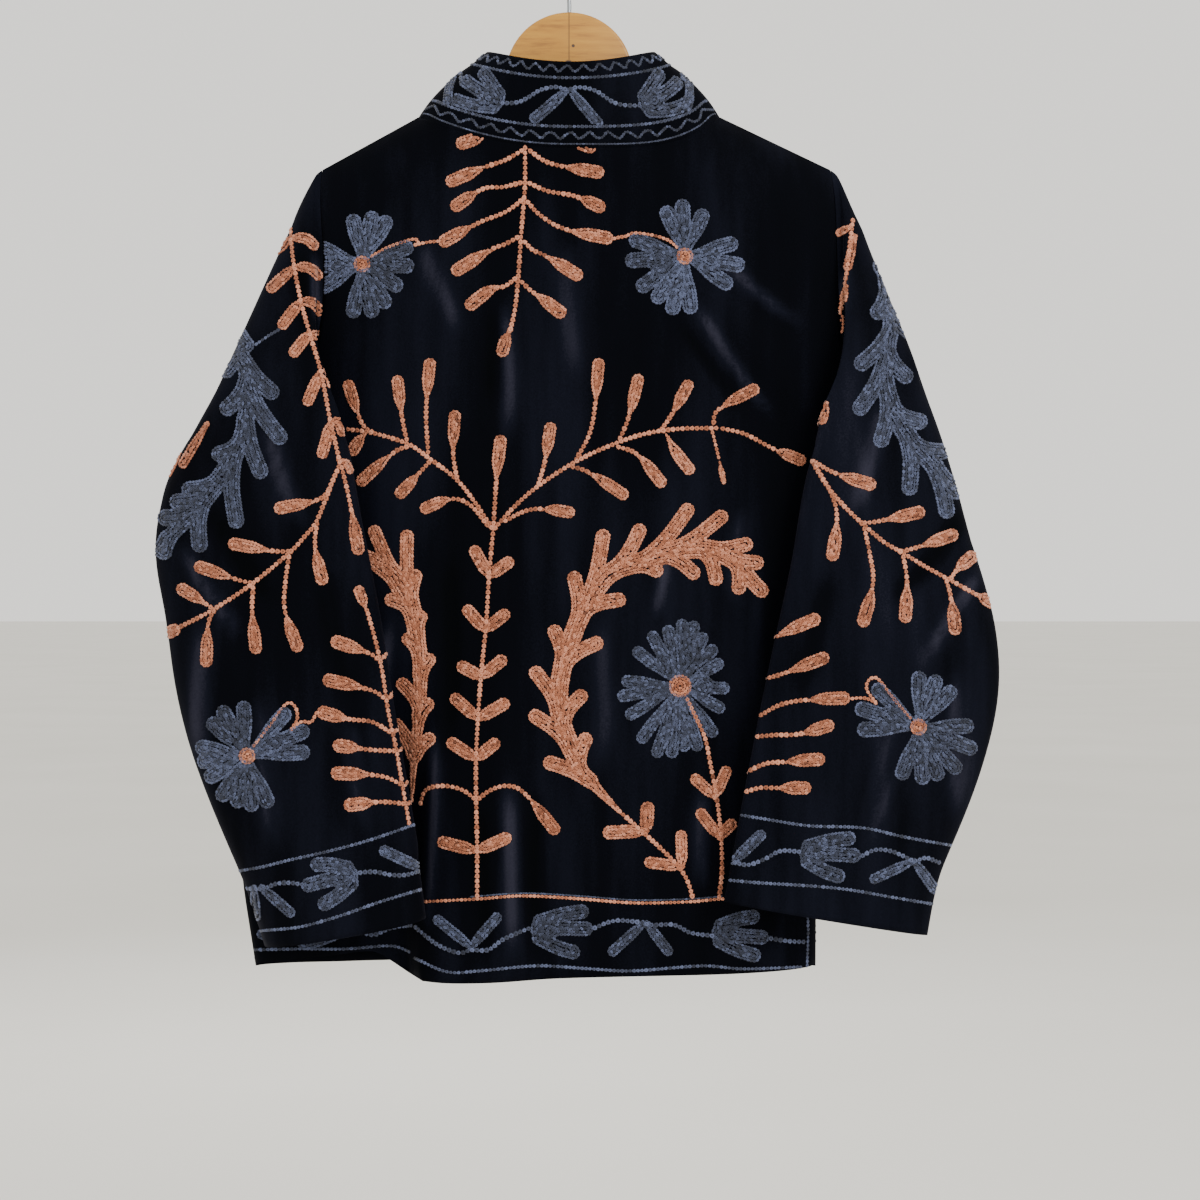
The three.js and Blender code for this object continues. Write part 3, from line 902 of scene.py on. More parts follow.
class Stitches:
    """A set of chain links in one thread on one cloth piece."""

    # One link, seen from above: a rounded loop with a hollow middle.
    OUTLINE = np.array([(-0.5, 0), (-0.2, 0.37), (0.26, 0.5), (0.56, 0), (0.26, -0.5), (-0.2, -0.37)])
    CREST = np.array([0.7, 0.95, 1.0, 0.9, 1.0, 0.95])
    CREST_SHARE = 0.64  # size of the crest against the outline
    FOOT = -0.25  # the foot is sunk in the cloth by this share of the height
    HOLLOW = 0.4  # the middle is as high as this share of the height
    LEAN = 0.02
    PAINTED_LIGHT_TONES = np.concatenate([np.full(6, -0.6), np.full(6, 0.2), [-0.45]])  # painted shade at the foot and middle, painted highlight on the crest
    CORNERS = 13
    # How uneven hand work is, in tone, turn and size.
    UNEVEN_TONE = 0.2
    UNEVEN_TURN = 0.10
    UNEVEN_SIZE = 0.06
    UNEVEN_SHAPE = 0.05
    JUMP = 9 * MM  # a row breaks off where its next place is further away than this
    SHORTEST = 0.6  # a stretch under this share of a link's pitch is left out
    STEP = 0.4 * MM  # a link points from this far behind it to this far ahead

    def __init__(self, name: str, thread: Thread, bed: Bed, seed: int) -> None:
        """Start with no links.

        Args:
            name: Name of the piece it becomes.
            thread: The thread.
            bed: The cloth it is sewn on.
            seed: Number that settles its small unevenness.
        """
        self.name = name
        self.thread = thread
        self.bed = bed
        self.random = np.random.default_rng(seed)
        self.links: list[tuple[Vector, Vector, Vector, Gauge, float]] = []
        self.taken: dict[tuple[int, int, int], list[Vector]] = {}
        self.cell = 2.0 * MM

    # -- one row of chain

    def row(self, line: np.ndarray, gauge: Gauge, shade: float = 0.5) -> list[np.ndarray]:
        """Sew one row of links along a line of the chart.

        Args:
            line: Evenly spaced chart places.
            gauge: Size of the links.
            shade: Tone of the row, 0 dark to 1 light.

        Returns:
            Chart places of the links that found room.
        """
        made: list[np.ndarray] = []
        run: list[tuple[Vector, Vector, np.ndarray]] = []
        for u, v in line:
            spot = self.bed.place(float(u), float(v))
            if spot is None or (run and (spot[0] - run[-1][0]).length > self.JUMP):
                made += self._sew(run, gauge, shade)
                run = []
            if spot is not None:
                run.append((*spot, np.array((u, v))))
        return made + self._sew(run, gauge, shade)

    def _sew(self, run: list[tuple[Vector, Vector, np.ndarray]], gauge: Gauge, shade: float) -> list[np.ndarray]:
        """Place links at their pitch along a stretch of cloth.

        Args:
            run: Places on the cloth, each with its normal and its chart place.
            gauge: Size of the links.
            shade: Tone of the row.

        Returns:
            Chart places of the links that found room.
        """
        if len(run) < 2:
            return []
        points = np.array([p for p, _, _ in run])
        normals = np.array([n for _, n, _ in run])
        chart = np.array([c for _, _, c in run])
        lengths = np.concatenate([[0], np.cumsum(np.linalg.norm(np.diff(points, axis=0), axis=1))])
        if lengths[-1] < self.SHORTEST * gauge.pitch * MM:
            return []
        count = max(1, int(round(lengths[-1] / (gauge.pitch * MM))))
        at = (np.arange(count) + 0.5) / count * lengths[-1]
        ahead = np.minimum(at + self.STEP, lengths[-1])
        back = np.maximum(at - self.STEP, 0)
        spot, to, fro, up, uv = (
            np.stack([np.interp(s, lengths, a[:, k]) for k in range(a.shape[1])], axis=1)
            for s, a in ((at, points), (ahead, points), (back, points), (at, normals), (at, chart))
        )
        kept = []
        for p, a, b, n, c in zip(spot, to, fro, up, uv):
            place, way, normal = Vector(p), Vector(a - b), Vector(n)
            if way.length < 1e-7 or normal.length < 1e-7:
                continue
            if gauge.keep and self._near(place, gauge.keep * MM):
                continue
            key = tuple(int(math.floor(c / self.cell)) for c in place)
            self.taken.setdefault(key, []).append(place)
            tone = shade + float(self.random.normal(0, self.UNEVEN_TONE))
            self.links.append((place, way.normalized(), normal.normalized(), gauge, tone))
            kept.append(c)
        return kept

    def _near(self, place: Vector, keep: float) -> bool:
        """Look for another link within reach.

        Args:
            place: Where a link is wanted.
            keep: The clearance that it needs.

        Returns:
            True where it has no room.
        """
        kx, ky, kz = (int(math.floor(c / self.cell)) for c in place)
        for dx in (-1, 0, 1):
            for dy in (-1, 0, 1):
                for dz in (-1, 0, 1):
                    for other in self.taken.get((kx + dx, ky + dy, kz + dz), ()):
                        if (other - place).length < keep:
                            return True
        return False

    # -- shapes

    def stem(self, *points: Point2, gauge: Gauge = STEM) -> None:
        """Sew a single bold row through points."""
        self.row(curve_through(points, 1.3), gauge, 0.62)

    def leaf(self, *points: Point2, width: float = 13.0, root: float = 0.3, full: float = 0.62) -> None:
        """Fill a leaf that narrows to its root and is round at its tip.

        Args:
            points: Chart places from root to tip.
            width: Width where it is fullest, in chart units.
            root: Share of that width at the root.
            full: Share of the length at which it is fullest.
        """
        self.mass([tapered(points, width, root, full)])

    def disc(self, centre: Point2, radius: float) -> None:
        """Fill a round eye."""
        self.mass([Stroke(np.array([centre, centre], float), np.full(2, radius))])

    def mass(self, strokes: Sequence[Stroke], tone: float = 0.0) -> None:
        """Fill strokes as one shape: rows that follow its edge, one inside the other, then what is left.

        Args:
            strokes: What the shape is made of.
            tone: How much lighter than usual it is.
        """
        shape = Shape(strokes)
        gap = ROW_GAP * MM / self.bed.unit
        tone += float(self.random.normal(0, self.UNEVEN_SHAPE))
        covered = np.zeros(shape.depth.shape, int)
        level, gauge, shade = -0.5 * gap, RIM, 0.58
        while level > shape.depth.min():
            for ring in shape.rings(level):
                if len(ring) * shape.cell < 2 * gap:
                    continue
                self._cover(shape, covered, self.row(evenly(ring, 1.0), gauge, shade + tone))
            level -= gap
            gauge, shade = FILL, 0.42 + 0.12 * float(self.random.random())
        reach = 0.55 * gap
        needed = np.where(shape.steep < 0.8, 2, 1)  # a middle line counts as open until a row lies right on it
        for i, j in np.argwhere((shape.depth < -0.4 * gap) & (covered < needed)):
            if covered[i, j] >= needed[i, j]:
                continue
            spot = shape.low + shape.cell * np.array((i, j))
            way = shape.way[i, j] / max(float(np.linalg.norm(shape.way[i, j])), 1e-9)
            line = np.array([spot - way * reach, spot, spot + way * reach])
            self.row(line, INFILL, 0.45 + tone)
            self._cover(shape, covered, [spot])

    @staticmethod
    def _cover(shape: Shape, covered: np.ndarray, links: Sequence[np.ndarray], reach: float = 1.5) -> None:
        """Note what links hide: 2 for the cells under them, 1 for those beside them.

        Args:
            shape: The shape that is being filled.
            covered: The note for each of its cells.
            links: Chart places of the links.
            reach: How far a link hides the cloth to each side, in chart units.
        """
        for spot in links:
            i, j = np.clip(np.round((spot - shape.low) / shape.cell).astype(int), 0, np.array(covered.shape) - 1)
            way = shape.trend[i, j]
            for step in (-reach, -0.5 * reach, 0, 0.5 * reach, reach):
                i, j = np.round((spot + way * step - shape.low) / shape.cell).astype(int)
                near = covered[max(i - 1, 0) : i + 2, max(j - 1, 0) : j + 2]
                np.maximum(near, 1, out=near)
                if 0 <= i < covered.shape[0] and 0 <= j < covered.shape[1]:
                    covered[i, j] = 2

    def build(self, materials: dict[Thread, bpy.types.Material]) -> Mesh | None:
        """Make one mesh of all the links.

        Args:
            materials: Finish of each thread.

        Returns:
            The stitches as one piece, or nothing where none was sewn.
        """
        if not self.links:
            return None
        place = np.array([link[0] for link in self.links])
        way = np.array([link[1] for link in self.links])
        normal = np.array([link[2] for link in self.links])
        normal -= way * (normal * way).sum(axis=1, keepdims=True)
        normal /= np.maximum(np.linalg.norm(normal, axis=1, keepdims=True), 1e-9)
        side = np.cross(normal, way)
        count = len(self.links)
        twist = self.random.normal(0, self.UNEVEN_TURN, count)[:, None]
        way, side = way * np.cos(twist) + side * np.sin(twist), side * np.cos(twist) - way * np.sin(twist)
        gauges = np.array([(g.pitch * g.overlap, g.width, g.height) for *_, g, _ in self.links]) * MM
        gauges *= 1 + self.random.normal(0, self.UNEVEN_SIZE, (count, 1))
        ring = self.OUTLINE
        template = np.vstack(
            [
                np.column_stack([ring, np.full(6, self.FOOT)]),
                np.column_stack([ring * self.CREST_SHARE + (self.LEAN, 0), self.CREST]),
                [(self.LEAN, 0.0, self.HOLLOW)],
            ]
        )
        spots = (
            place[:, None, :]
            + way[:, None, :] * (template[None, :, 0] * gauges[:, 0:1])[:, :, None]
            + side[:, None, :] * (template[None, :, 1] * gauges[:, 1:2])[:, :, None]
            + normal[:, None, :] * (template[None, :, 2] * gauges[:, 2:3])[:, :, None]
        )
        faces = []
        for k in range(6):
            after = (k + 1) % 6
            faces += [(k, k + 6, after + 6), (k, after + 6, after), (k + 6, self.CORNERS - 1, after + 6)]
        pattern = np.array(faces)
        corners = (pattern[None] + self.CORNERS * np.arange(count)[:, None, None]).reshape(-1, 3)
        mesh = bpy.data.meshes.new(self.name)
        mesh.from_pydata(spots.reshape(-1, 3), [], corners)
        if self._inside_out(spots[0], pattern, place[0]):
            mesh.flip_normals()
        tones = np.clip(np.array([link[4] for link in self.links]), 0, 1)
        # Each link's random tone, with painted shade at its foot and middle and a painted highlight on its crest.
        shade = mesh.attributes.new("shade", "FLOAT", "POINT")
        shade.data.foreach_set("value", np.clip(tones[:, None] + self.PAINTED_LIGHT_TONES[None], 0, 1).ravel())
        strand = mesh.uv_layers.new(name="strand")
        flat = template[:, :2] * (4.0, 2.6)
        order = np.empty(len(mesh.loops), np.int32)
        mesh.loops.foreach_get("vertex_index", order)
        strand.data.foreach_set("uv", flat[order % self.CORNERS].ravel())
        mesh.polygons.foreach_set("use_smooth", np.ones(len(mesh.polygons), bool))
        mesh.materials.append(materials[self.thread])
        mesh.update()
        piece = bpy.data.objects.new(self.name, mesh)
        bpy.context.scene.collection.objects.link(piece)
        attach(piece, "root")
        log.info("%s: %d links", self.name, count)
        return piece

    @staticmethod
    def _inside_out(spots: np.ndarray, pattern: np.ndarray, centre: np.ndarray) -> bool:
        """Check which way a link's faces point.

        Args:
            spots: Corners of the link.
            pattern: Its triangles.
            centre: Its middle.

        Returns:
            True where they point into it.
        """
        a, b, c = (spots[pattern[:, k]] - centre for k in range(3))
        return float((a * np.cross(b, c)).sum()) < 0


# ---------------------------------------------------------------- motifs


@dataclass
class Needlework:
    """The two threads' stitches on one bed, with the motifs that both are used for."""

    name: str
    bed: Bed
    seed: int

    def __post_init__(self) -> None:
        """Thread both needles."""
        self.copper = Stitches(f"{self.name}_copper", Thread.COPPER, self.bed, self.seed)
        self.slate = Stitches(f"{self.name}_slate", Thread.SLATE, self.bed, self.seed + 1)

    def bud(self, *points: Point2, length: float = 0.45, width: float = 13.0) -> None:
        """A copper stalk that ends in a long bud.

        Args:
            points: Chart places from the stem to the bud's tip.
            length: Share of the run that the bud takes.
            width: Width of the bud.
        """
        line = curve_through(points, 1.3)
        cut = max(1, int(round(len(line) * (1 - length))))
        self.copper.row(line[: cut + 2], FINE_STEM if width < 9 else STEM, 0.6)
        bud = line[cut:]
        self.copper.leaf(*[tuple(p) for p in bud[:: max(1, len(bud) // 5)]], tuple(line[-1]), width=width)

    def pair(self, root: Point2, *tips: Point2, width: float = 13.0) -> None:
        """Copper leaves that spring from one place of a stem.

        Args:
            root: Place on the stem.
            tips: End of each leaf.
            width: Width of a leaf.
        """
        for tip in tips:
            self.copper.leaf(root, tip, width=width, root=0.5, full=0.4)

    def lobed_leaf(
        self,
        stitches: Stitches,
        spine: Path2,
        tips: Sequence[Point2],
        half_width: Sequence[tuple[float, float]],
        lobe: float = 16.0,
    ) -> None:
        """A long leaf with a lobe towards each tip.

        Args:
            stitches: The thread it is sewn in.
            spine: Its middle, in the direction in which it grows.
            tips: Ends of the lobes.
            half_width: Places along it, from 0 to 1, with half its width there.
            lobe: Width of a lobe.
        """
        line = curve_through(spine)
        strokes = []
        for tip in tips:
            end = np.array(tip)
            gaps = np.linalg.norm(line - end, axis=1)
            nearest = int(gaps.argmin())
            root = line[max(0, nearest - int(1.1 * gaps[nearest] / 1.3) - 3)]
            bend = 0.5 * (root + end) + 0.1 * (line[nearest] - end)
            strokes.append(tapered((tuple(root), tuple(bend), tip), lobe, root=1.05, full=0.5))
        at, half = zip(*half_width)
        strokes.append(Stroke(line, np.interp(np.linspace(0, 1, len(line)), at, half)))
        stitches.mass(strokes)

    def flower(
        self, centre: Point2, fans: Sequence[Sequence[Point2]], eye: float = 8.5, petal: float = 16.0
    ) -> None:
        """A slate flower with a copper eye.

        Args:
            centre: Middle of the eye.
            fans: Ends of the petals, by the fans that they run together in.
            eye: Radius of the eye.
            petal: Width of a petal.
        """
        middle = np.array(centre, float)
        self.copper.disc(centre, eye)
        for fan in fans:
            strokes = []
            for tip in fan:
                way = np.array(tip) - middle
                start = middle + way / np.linalg.norm(way) * (eye + 1.0)
                strokes.append(tapered((tuple(start), tip), petal, root=0.5, full=0.75))
            if len(fan) > 1:
                mean = np.mean(np.array(fan, float), axis=0) - middle
                spread = float(np.linalg.norm(np.array(fan[0], float) - np.array(fan[-1], float)))
                web = middle + np.outer(np.linspace((eye + 5) / np.linalg.norm(mean), 0.5, 12), mean)
                strokes.append(Stroke(web, np.linspace(0.09, 0.2, 12) * spread + 1.5))
            self.slate.mass(strokes, tone=float(self.slate.random.normal(0, 0.07)))

    def tulip(self, base: Point2, tips: Sequence[Point2], petal: float = 15.0) -> None:
        """A slate tulip that opens from its round cup towards its tips.

        Args:
            base: Foot of the cup.
            tips: Ends of its three petals.
            petal: Width of a petal.
        """
        root = np.array(base, float)
        middle = np.mean(np.array(tips, float), axis=0)
        way = (middle - root) / np.linalg.norm(middle - root)
        side = np.array([-way[1], way[0]])
        cup = root + way * 0.55 * petal
        strokes = [Stroke(np.array([cup, cup + way * 0.6 * petal]), np.array([0.6, 0.7]) * petal)]
        for tip in tips:
            end = np.array(tip, float)
            start = cup + side * 0.4 * float(np.dot(end - root, side))
            bend = 0.5 * (start + end) + side * 0.08 * float(np.dot(end - root, side))
            strokes.append(tapered((tuple(start), tuple(bend), tip), petal, root=0.95, full=0.5))
        self.slate.mass(strokes)

    def vine(self, *points: Point2) -> None:
        """A slate stem."""
        self.slate.stem(*points)

    def blade(self, root: Point2, tip: Point2, width: float = 11.0) -> None:
        """A plain slate leaf."""
        self.slate.leaf(root, tip, width=width, root=0.7, full=0.4)

    def rule(self, *points: Point2, copper: bool = False) -> None:
        """A straight border line."""
        (self.copper if copper else self.slate).row(curve_through(points, 1.3), RULE, 0.6)

    def build(self, materials: dict[Thread, bpy.types.Material]) -> list[Mesh]:
        """Make the pieces of both threads.

        Args:
            materials: Finish of each thread.

        Returns:
            The pieces that have any stitches.
        """
        made = [part.build(materials) for part in (self.copper, self.slate)]
        return [piece for piece in made if piece is not None]


class BackPattern(Needlework):
    """Pattern of the back panel."""

    def sew(self) -> None:
        """Sew the sprays, the tree, the leaves, the flowers and the hem band."""
        self._hanging_spray()
        self._tree()
        self._trunk()
        self._great_leaf()
        self._far_leaf()
        self._flowers()
        self._hem()

    def _hanging_spray(self) -> None:
        """Sew the spray that hangs from the collar."""
        self.copper.stem((525, 141), (525, 180), (524, 198), (521, 236), (518, 279), (515, 308), (510, 331))
        self.bud((510, 329), (505, 342), (501, 356), length=0.9)
        for run, share in (
            (((524, 149), (505, 160), (485, 167), (446, 183)), 0.52),
            (((523, 182), (502, 187), (482, 189), (451, 209)), 0.42),
            (((523, 199), (505, 212), (478, 223), (439, 244)), 0.42),
            (((520, 236), (505, 244), (490, 250), (452, 273)), 0.62),
            (((517, 277), (505, 286), (490, 290), (466, 308)), 0.7),
            (((490, 134), (475, 139), (456, 145)), 0.9),
            (((528, 149), (543, 160), (562, 166), (604, 173)), 0.52),
            (((527, 182), (548, 191), (575, 196), (605, 209)), 0.36),
            (((526, 200), (540, 215), (565, 229), (613, 239)), 0.48),
            (((523, 240), (533, 250), (548, 257), (582, 278)), 0.62),
            (((520, 280), (530, 290), (540, 297), (565, 316)), 0.66),
            (((566, 139), (580, 143), (596, 149)), 0.9),
        ):
            self.bud(*run, length=share, width=13.5)
        self.copper.stem((612, 239), (620, 237), (627, 236), gauge=FINE_STEM)
        self.copper.stem((440, 241), (428, 242), (414, 245), gauge=FINE_STEM)

    def _tree(self) -> None:
        """Sew the two boughs of the tree, with their buds."""
        self.bud((493, 531), (495, 500), (497, 470), (501, 436), length=0.5)
        self.copper.stem((493, 530), (476, 504), (456, 479), (430, 459), (408, 444), (373, 433), (346, 429))
        self.copper.stem(
            (493, 530), (515, 506), (538, 486), (573, 463), (604, 448), (640, 435), (676, 429), (718, 428)
        )
        for run, share in (
            (((457, 480), (453, 452), (455, 411)), 0.62),
            (((428, 455), (426, 410), (430, 359)), 0.45),
            (((407, 442), (402, 418), (397, 376)), 0.6),
            (((374, 433), (361, 422), (347, 381)), 0.62),
            (((489, 527), (470, 505), (450, 499), (421, 510)), 0.42),
            (((431, 460), (421, 471), (397, 497)), 0.66),
            (((409, 446), (393, 453), (358, 484)), 0.72),
            (((366, 432), (358, 442), (350, 455)), 0.9),
            (((538, 486), (545, 460), (551, 423)), 0.6),
            (((575, 462), (592, 425), (599, 359)), 0.42),
            (((619, 441), (629, 416), (639, 375)), 0.64),
            (((660, 431), (672, 414), (690, 381)), 0.66),
            (((713, 425), (719, 409), (758, 387)), 0.72),
            (((503, 522), (525, 511), (545, 509), (574, 513)), 0.46),
            (((570, 466), (590, 473), (627, 497)), 0.72),
            (((616, 446), (638, 455), (664, 486)), 0.66),
            (((666, 434), (676, 452), (692, 473)), 0.97),
            (((720, 428), (745, 434), (772, 448), (805, 462)), 0.38),
        ):
            self.bud(*run, length=share, width=12.5)
        self.bud((712, 430), (718, 455), (724, 483), length=0.5, width=6.0)

    def _trunk(self) -> None:
        """Sew the tree's trunk, with its paired leaves."""
        self.copper.stem(
            (493, 531), (489, 575), (486, 625), (481, 674), (478, 717), (476, 757), (476, 798), (477, 848), (477, 898)
        )
        for root, left, right in (
            ((489, 576), (472, 546), (513, 559)),
            ((485, 630), (464, 606), (509, 611)),
            ((481, 677), (457, 664), (506, 657)),
            ((478, 719), (451, 695), (509, 701)),
            ((476, 759), (447, 740), (499, 740)),
            ((477, 851), (437, 841), (511, 836)),
        ):
            self.pair(root, left, right)
        self.copper.stem((476, 800), (462, 790), (443, 786), (426, 790), (420, 805))
        self.bud((477, 800), (491, 790), (508, 786), (525, 794), (558, 834), length=0.45)

    def _great_leaf(self) -> None:
        """Sew the great curled leaf on its stalk."""
        self.copper.stem((693, 899), (687, 880), (676, 864), (658, 846), (638, 828), (618, 810))
        self.lobed_leaf(
            self.copper,
            spine=(
                (622, 814), (608, 800), (593, 784), (578, 765), (568, 741), (560, 715), (559, 690), (563, 665),
                (571, 640), (580, 617), (592, 595), (612, 572), (641, 562), (677, 551), (702, 549), (722, 554),
                (739, 566), (757, 588),
            ),
            tips=(
                (544, 761), (530, 713), (532, 668), (552, 626), (573, 572), (604, 530), (642, 525), (691, 505),
                (726, 513), (752, 543), (763, 563), (766, 595), (738, 594), (717, 585), (698, 577), (662, 573),
                (625, 599), (602, 641), (585, 692), (588, 734),
            ),
            half_width=((0, 2), (0.08, 5), (0.2, 9.5), (0.5, 9.5), (0.85, 10), (0.94, 8), (1, 5)),
            lobe=15.0,
        )
        self.pair((646, 831), (603, 833), (648, 802), width=14)
        self.pair((682, 867), (645, 862), (681, 831), width=12)

    def _far_leaf(self) -> None:
        """Sew the leaf that the left sleeve half hides."""
        self.lobed_leaf(
            self.copper,
            spine=((412, 800), (414, 760), (419, 715), (420, 670), (416, 630), (408, 600), (393, 575), (372, 560)),
            tips=(
                (434, 735), (432, 700), (433, 655), (424, 612), (417, 570), (407, 530), (372, 526), (350, 545),
                (385, 598), (403, 635), (398, 680), (392, 720),
            ),
            half_width=((0, 2), (0.3, 6), (0.6, 8), (0.85, 11), (1, 8)),
            lobe=14.0,
        )

    def _flowers(self) -> None:
        """Sew the two flowers at the shoulders and the daisy."""
        self.flower(
            (685, 256),
            (
                ((664, 206), (682, 199), (705, 209)),
                ((738, 242), (745, 266), (732, 287)),
                ((691, 314), (671, 315), (654, 303)),
                ((629, 238), (625, 261), (637, 290)),
            ),
        )
        self.copper.stem((626, 236), (634, 233), (652, 235), (668, 240), (678, 248), gauge=FINE_STEM)
        self.flower(
            (362, 264),
            (
                ((352, 214), (373, 211), (389, 216)),
                ((413, 245), (414, 266), (402, 289)),
                ((388, 308), (373, 318), (352, 318)),
                ((309, 243), (306, 266), (318, 290)),
            ),
        )
        self.copper.stem((370, 257), (386, 248), (402, 242), (415, 239), (419, 244), gauge=FINE_STEM)
        fans = (
            ((-175, 59), (170, 64), (150, 63)),
            ((126, 69), (109, 76), (97, 73)),
            ((86, 65), (74, 68)),
            ((55, 61),),
            ((29, 51), (3, 50), (-30, 50)),
            ((-48, 53), (-65, 59), (-77, 67), (-88, 66)),
            ((-102, 61), (-119, 61), (-141, 60)),
        )
        self.flower(
            (680, 686),
            [
                [
                    (680 + reach * math.cos(math.radians(turn)), 686 + reach * math.sin(math.radians(turn)))
                    for turn, reach in fan
                ]
                for fan in fans
            ],
            eye=11.5,
            petal=13.0,
        )
        self.copper.stem((686, 697), (695, 716), (705, 738), (710, 762), (717, 800), (721, 835), (722, 870), (719, 899))
        self.pair((715, 797), (692, 776), (728, 767), width=12)
        self.pair((719, 837), (698, 810), (735, 821), width=12)

    def _hem(self) -> None:
        """Sew the border lines and the vine of the hem."""
        self.rule((408, 903), (440, 901), (480, 899), (523, 896), (580, 899), (633, 903), (688, 902), (724, 899),
                  (765, 900), (803, 902), copper=True)
        beside = ((470, 897), (523, 893.4), (580, 896.2), (633, 900.2), (688, 899.2), (722, 896.5))
        self.slate.row(curve_through(beside), HAIR, 0.5)
        self.rule((414, 958), (447, 972), (480, 971), (537, 966), (590, 969), (633, 971), (702, 966), (743, 969),
                  (802, 967))
        self.rule((807, 899), (808, 930), (807, 967))
        self.vine((414, 926), (436, 944), (458, 953), (471, 950), (488, 950), (504, 939), (530, 928))
        self.blade((471, 947), (434, 917))
        self.blade((471, 947), (500, 914))
        self.tulip((531, 929), ((588, 911), (592, 929), (579, 954)))
        self.vine((592, 929), (614, 921), (636, 922), (652, 925), (674, 925), (691, 933), (714, 936))
        self.blade((643, 924), (609, 955))
        self.blade((647, 924), (671, 955))
        self.tulip((712, 933), ((759, 916), (768, 938), (760, 957)))
        self.vine((768, 938), (786, 941), (805, 942))
        # What the left sleeve hides goes on in the same way.
        self.rule((252, 889), (300, 893), (350, 897), (400, 901), copper=True)
        self.rule((250, 950), (300, 949), (345, 949), (390, 946), (410, 952))
        self.tulip((345, 925), ((290, 908), (286, 926), (298, 944)))
        self.vine((346, 925), (370, 935), (392, 928), (412, 925))
        self.blade((284, 926), (256, 912))
        self.blade((284, 926), (257, 936))


